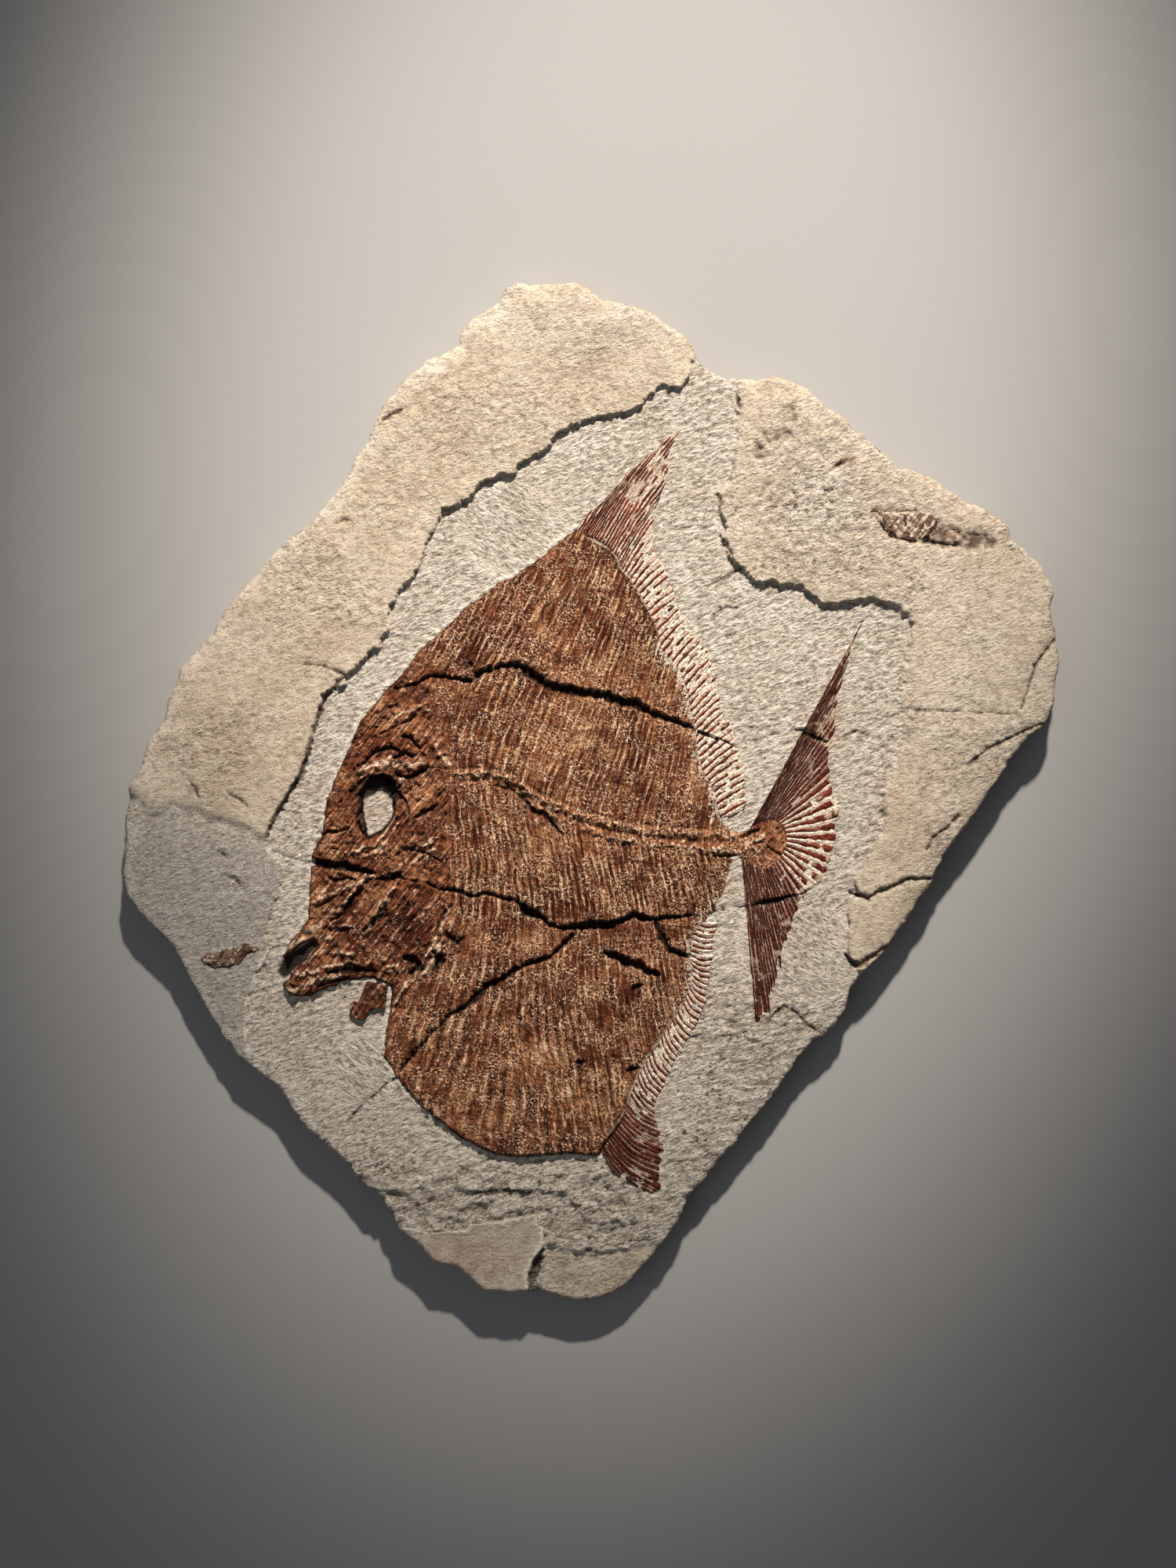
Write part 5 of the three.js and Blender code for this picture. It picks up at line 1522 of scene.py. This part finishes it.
def bone_material(name, tones, deep):
    """Petrified bone and scales. tones run from darkest to palest, and deep is the colour in gaps."""
    material, tree, place = new_material(name)
    rows = use(tree, BONE_GRAIN, {"Place": place, "Row": tree.share("row"), "Along": tree.share("along")})
    turned = tree.add("ShaderNodeSeparateXYZ", {0: tree.stretched(place, 52, 1.5, 3.4)}).outputs
    skull = use(tree, BONE_GRAIN, {"Place": place, "Row": turned["Y"], "Along": turned["X"]})
    head, trunk, bone = tree.share("head"), tree.share("trunk"), tree.share("bone")
    streak = tree.blend(head, rows["Streak"], skull["Streak"])
    rung = tree.blend(head, rows["Rung"], skull["Rung"])
    fine, crest = rows["Fine"], rows["Crest"]
    grainy = tree.math("MULTIPLY_ADD", head, -0.55, 1.0)

    level = tree.plus(tree.times(streak, 1.3), tree.times(rung, 0.5))
    level = tree.plus(level, tree.times(tree.noise(place, 13, 5, 0.65), 1.05))
    level = tree.plus(level, tree.times(tree.share("gold"), 0.14))
    level = tree.math("SUBTRACT", level, tree.times(tree.share("shade"), 0.25))

    # Masks: valleys between the scale rows, pale flecks, worn crests, edges of single bones (partly painted
    # highlights), the skull's slits and splinters, and bone that frays out into the stone.
    valley = tree.times(tree.range(crest, 0.5, 0.12), tree.range(streak, 0.72, 0.48))
    fleck = tree.times(tree.range(fine, 0.53, 0.60), tree.range(tree.noise(place, 9, 3), 0.40, 0.58))
    worn = tree.range(tree.plus(streak, tree.times(fine, 0.5)), 0.76, 0.84)
    line = tree.times(tree.range(crest, 0.8, 0.96), worn)
    chipped = tree.range(tree.plus(streak, tree.times(fine, 0.8)), 0.82, 0.92)
    edge = tree.times(tree.range(bone, 0.5, 0.85), chipped)
    slits = tree.range(skull["Streak"], 0.47, 0.38)
    splinters = tree.times(tree.range(skull["Streak"], 0.57, 0.64), tree.range(skull["Rung"], 0.44, 0.56))
    uneven = tree.math("SUBTRACT", tree.plus(streak, rung), 1.0)
    frayed = tree.plus(tree.share("fray"), tree.times(uneven, 2.2))
    base = tree.coats(tree.ramp(tree.math("SUBTRACT", level, 0.92), tones), [
        (tree.times(valley, trunk), 0.85, deep),
        (tree.times(tree.range(fine, 0.46, 0.36), grainy), 0.75, deep),
        (tree.times(fleck, grainy), 0.85, colour(0.96, 0.82, 0.67)),
        (tree.times(line, trunk), 0.68, colour(0.97, 0.85, 0.72)),
        (tree.times(bone, tree.range(rung, 0.36, 0.56)), 0.6, colour(0.68, 0.47, 0.34)),
        # Pale edges of the bones and the backbone's ridges, partly painted highlights.
        (edge, 0.85, colour(0.96, 0.84, 0.71)),
        (tree.times(slits, head), 0.6, deep),
        (tree.times(splinters, head), 0.55, colour(0.93, 0.76, 0.64)),
        # Painted shade in the relief's low places.
        (tree.share("low"), 0.5, deep),
        (tree.share("pale"), 0.8, colour(0.90, 0.82, 0.72)),
        (tree.range(frayed, 0.5, 0.65), 0.95, colour(0.86, 0.80, 0.72)),
        (tree.share("margin"), 0.6, deep),
        # Painted shade: cracks, grooves and the eye socket's rim near black.
        (tree.share("shaded_crack"), 0.92, colour(0.08, 0.04, 0.02)),
    ])

    height = tree.plus(tree.range(rung, 0.42, 0.58, 0, 0.3), tree.range(streak, 0.42, 0.58, 0, 0.3))
    height = tree.plus(height, fine)
    height = tree.plus(height, tree.times(tree.times(crest, trunk), 0.35))
    roughness = tree.range(fine, 0.3, 0.7, 0.8, 0.58)
    finish_material(tree, base, roughness, height, 1.0)
    return material


def fin_material():
    """Dark fin rays, and the stone between them where their web is open."""
    material, tree, place = new_material("fin_bone")
    rows = use(tree, BONE_GRAIN, {"Place": place, "Row": tree.share("row"), "Along": tree.share("along")})
    web, shade, fine = tree.share("web"), tree.share("shade"), rows["Fine"]
    level = tree.plus(tree.times(rows["Streak"], 1.2), tree.times(rows["Rung"], 0.8))
    level = tree.plus(level, tree.times(tree.noise(place, 7, 3), 1.0))
    shaded = tree.times(tree.math("MULTIPLY_ADD", web, 0.6, 0.4), shade)
    outer_part = tree.range(tree.share("reach"), 0.35, 1.0)
    worn = tree.times(tree.range(tree.noise(place, 6, 4), 0.54, 0.64), outer_part)
    base = tree.coats(tree.ramp(tree.math("SUBTRACT", level, 1.03), FIN_TONES), [
        (shaded, 0.8, colour(0.20, 0.08, 0.05)),
        (tree.range(fine, 0.46, 0.34), 0.5, colour(0.12, 0.05, 0.04)),
        (tree.range(fine, 0.6, 0.68), 0.5, colour(0.86, 0.66, 0.52)),
        (worn, 0.75, colour(0.84, 0.74, 0.62)),
    ])
    stone = tree.mix(tree.range(fine, 0.38, 0.58), colour(0.66, 0.57, 0.48), colour(0.93, 0.87, 0.79))
    ray = tree.range(tree.plus(tree.share("ray"), tree.math("SUBTRACT", fine, 0.5)), 0.35, 0.65)
    lines = tree.times(tree.range(rows["Streak"], 0.42, 0.56), tree.range(shade, 0, 1, 1, 0.5))
    uncovered = tree.times(tree.rest(ray), tree.blend(web, 1.0, lines))
    base = tree.mix(uncovered, base, stone)
    # Cracks painted near black as shade.
    base = tree.mix(tree.times(tree.share("shaded_crack"), 0.95), base, colour(0.07, 0.03, 0.02))
    height = tree.plus(tree.times(fine, 0.7), tree.times(tree.range(rows["Rung"], 0.42, 0.58), 0.25))
    roughness = tree.range(fine, 0.3, 0.7, 0.72, 0.5)
    finish_material(tree, base, roughness, height, 0.7)
    return material


def floor_material():
    """Plain pale grey."""
    material, tree, place = new_material("studio_floor")
    base = tree.mix(tree.noise(place, 300, 2), colour(0.62, 0.61, 0.60), colour(0.65, 0.64, 0.63))
    finish_material(tree, base, 0.9, tree.noise(place, 4, 2), 0.05)
    return material


# ---------- making the pieces ----------
def place_piece(piece, material, node):
    """Gives a piece its material, and ties it to the solid that it stands for."""
    piece.data.materials.append(material)
    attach(piece, "root")
    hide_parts(node)


limestone = limestone_material()
body_bone = bone_material("fossil_bone", FISH_TONES, colour(0.15, 0.04, 0.01))
faded_bone = bone_material("faded_bone", FADED_TONES, colour(0.24, 0.16, 0.12))
fin_bone = fin_material()

place_piece(make_slab(), limestone, "limestone_slab")
place_piece(make_body(), body_bone, "fish_body")
fins = {
    "dorsal_fin": fin_sheet("back_fin_rays", DORSAL_RAYS, gaps=(2.3, 2.9), steps=44, seed=201,
                            curl=0.5, widening=-0.03, broken=0.5, shade=0.1),
    "anal_fin": fin_sheet("lower_fin_rays", ANAL_RAYS, gaps=(1.9, 2.4), steps=36, seed=231,
                          curl=-2.0, widening=-0.02, broken=0.3, shade=0.9),
    "tail_fin": fin_sheet("tail_fin_rays", TAIL_RAYS, gaps=(1.7, 3.6), steps=64, seed=261,
                          curl=0.0, widening=0.13, broken=0.1, shade=1.0),
}
for node, rays in fins.items():
    place_piece(rays, fin_bone, node)
pelvic = crust_patch("belly_fin_lump", PELVIC_OUTLINE, PREPARED_FACE, thickness=2.2, spacing=0.5, seed=301,
                     lumpiness=0.6, fading=0)
fry = crust_patch("fry", SMALL_FISH_OUTLINE, LOWER_LAYER, thickness=0.2, spacing=0.45, seed=331,
                  lumpiness=0.45, fading=0.4)
scrap = crust_patch("scrap_of_bone", SCRAP_OUTLINE, BEDDING_TOP - 0.7, thickness=0.3, spacing=0.6, seed=361,
                    lumpiness=0.5, fading=0.6)
place_piece(pelvic, body_bone, "pelvic_fin")
place_piece(fry, faded_bone, "small_fish")
place_piece(scrap, faded_bone, "bone_scrap")


# ---------- floor, light and camera ----------
def make_floor():
    """A plain pale floor, a hair under the slab's back."""
    mesh = bpy.data.meshes.new("floor")
    half = 3.0
    gap_below = 0.0004
    corners = [(-half, -half, 0), (half, -half, 0), (half, half, 0), (-half, half, 0)]
    mesh.from_pydata(corners, [], [(0, 1, 2, 3)])
    floor = bpy.data.objects.new("floor", mesh)
    floor.location.z = -gap_below
    floor.data.materials.append(floor_material())
    bpy.context.scene.collection.objects.link(floor)


def make_light(kind, name, place, target, power, tint):
    """A light that points at a target; its data is given back for the settings that only its kind has."""
    data = bpy.data.lights.new(name, kind)
    data.energy = power
    data.color = tint
    light = bpy.data.objects.new(name, data)
    light.location = place
    light.rotation_euler = (Vector(target) - light.location).to_track_quat("-Z", "Y").to_euler()
    bpy.context.scene.collection.objects.link(light)
    return data


def make_camera():
    """Straight down on the slab's face, its top edge at the top of the frame."""
    view_height = 0.6667  # metres from the frame's bottom to its top
    distance = 1.5
    data = bpy.data.cameras.new("camera")
    data.sensor_width = 36
    data.lens = data.sensor_width * distance / view_height
    camera = bpy.data.objects.new("camera", data)
    camera.location = (-0.00133, 0.00333, BEDDING_TOP * MM + distance)
    bpy.context.scene.collection.objects.link(camera)
    bpy.context.scene.camera = camera


def make_world():
    """A faint, slightly blue light from all round."""
    world = bpy.data.worlds.new("soft studio")
    world.use_nodes = True
    background = world.node_tree.nodes["Background"]
    background.inputs["Color"].default_value = (0.80, 0.86, 0.95, 1)
    background.inputs["Strength"].default_value = 0.12
    bpy.context.scene.world = world


make_floor()
warm, cool = (1.0, 0.94, 0.86), (0.9, 0.95, 1.0)
spotlight = make_light(
    "SPOT", "spotlight from above", place=(0.24, 2.2, 1.72), target=(0.02, 0.175, 0.0), power=700, tint=warm
)
spotlight.shadow_soft_size = 0.1
spotlight.spot_size = math.radians(12.4)
spotlight.spot_blend = 0.73
fill = make_light("AREA", "soft fill", place=(-0.9, -0.5, 1.6), target=(0, 0, 0), power=2.5, tint=cool)
fill.shape = "DISK"
fill.size = 1.4
make_camera()
make_world()
bpy.context.scene.view_settings.view_transform = "Standard"
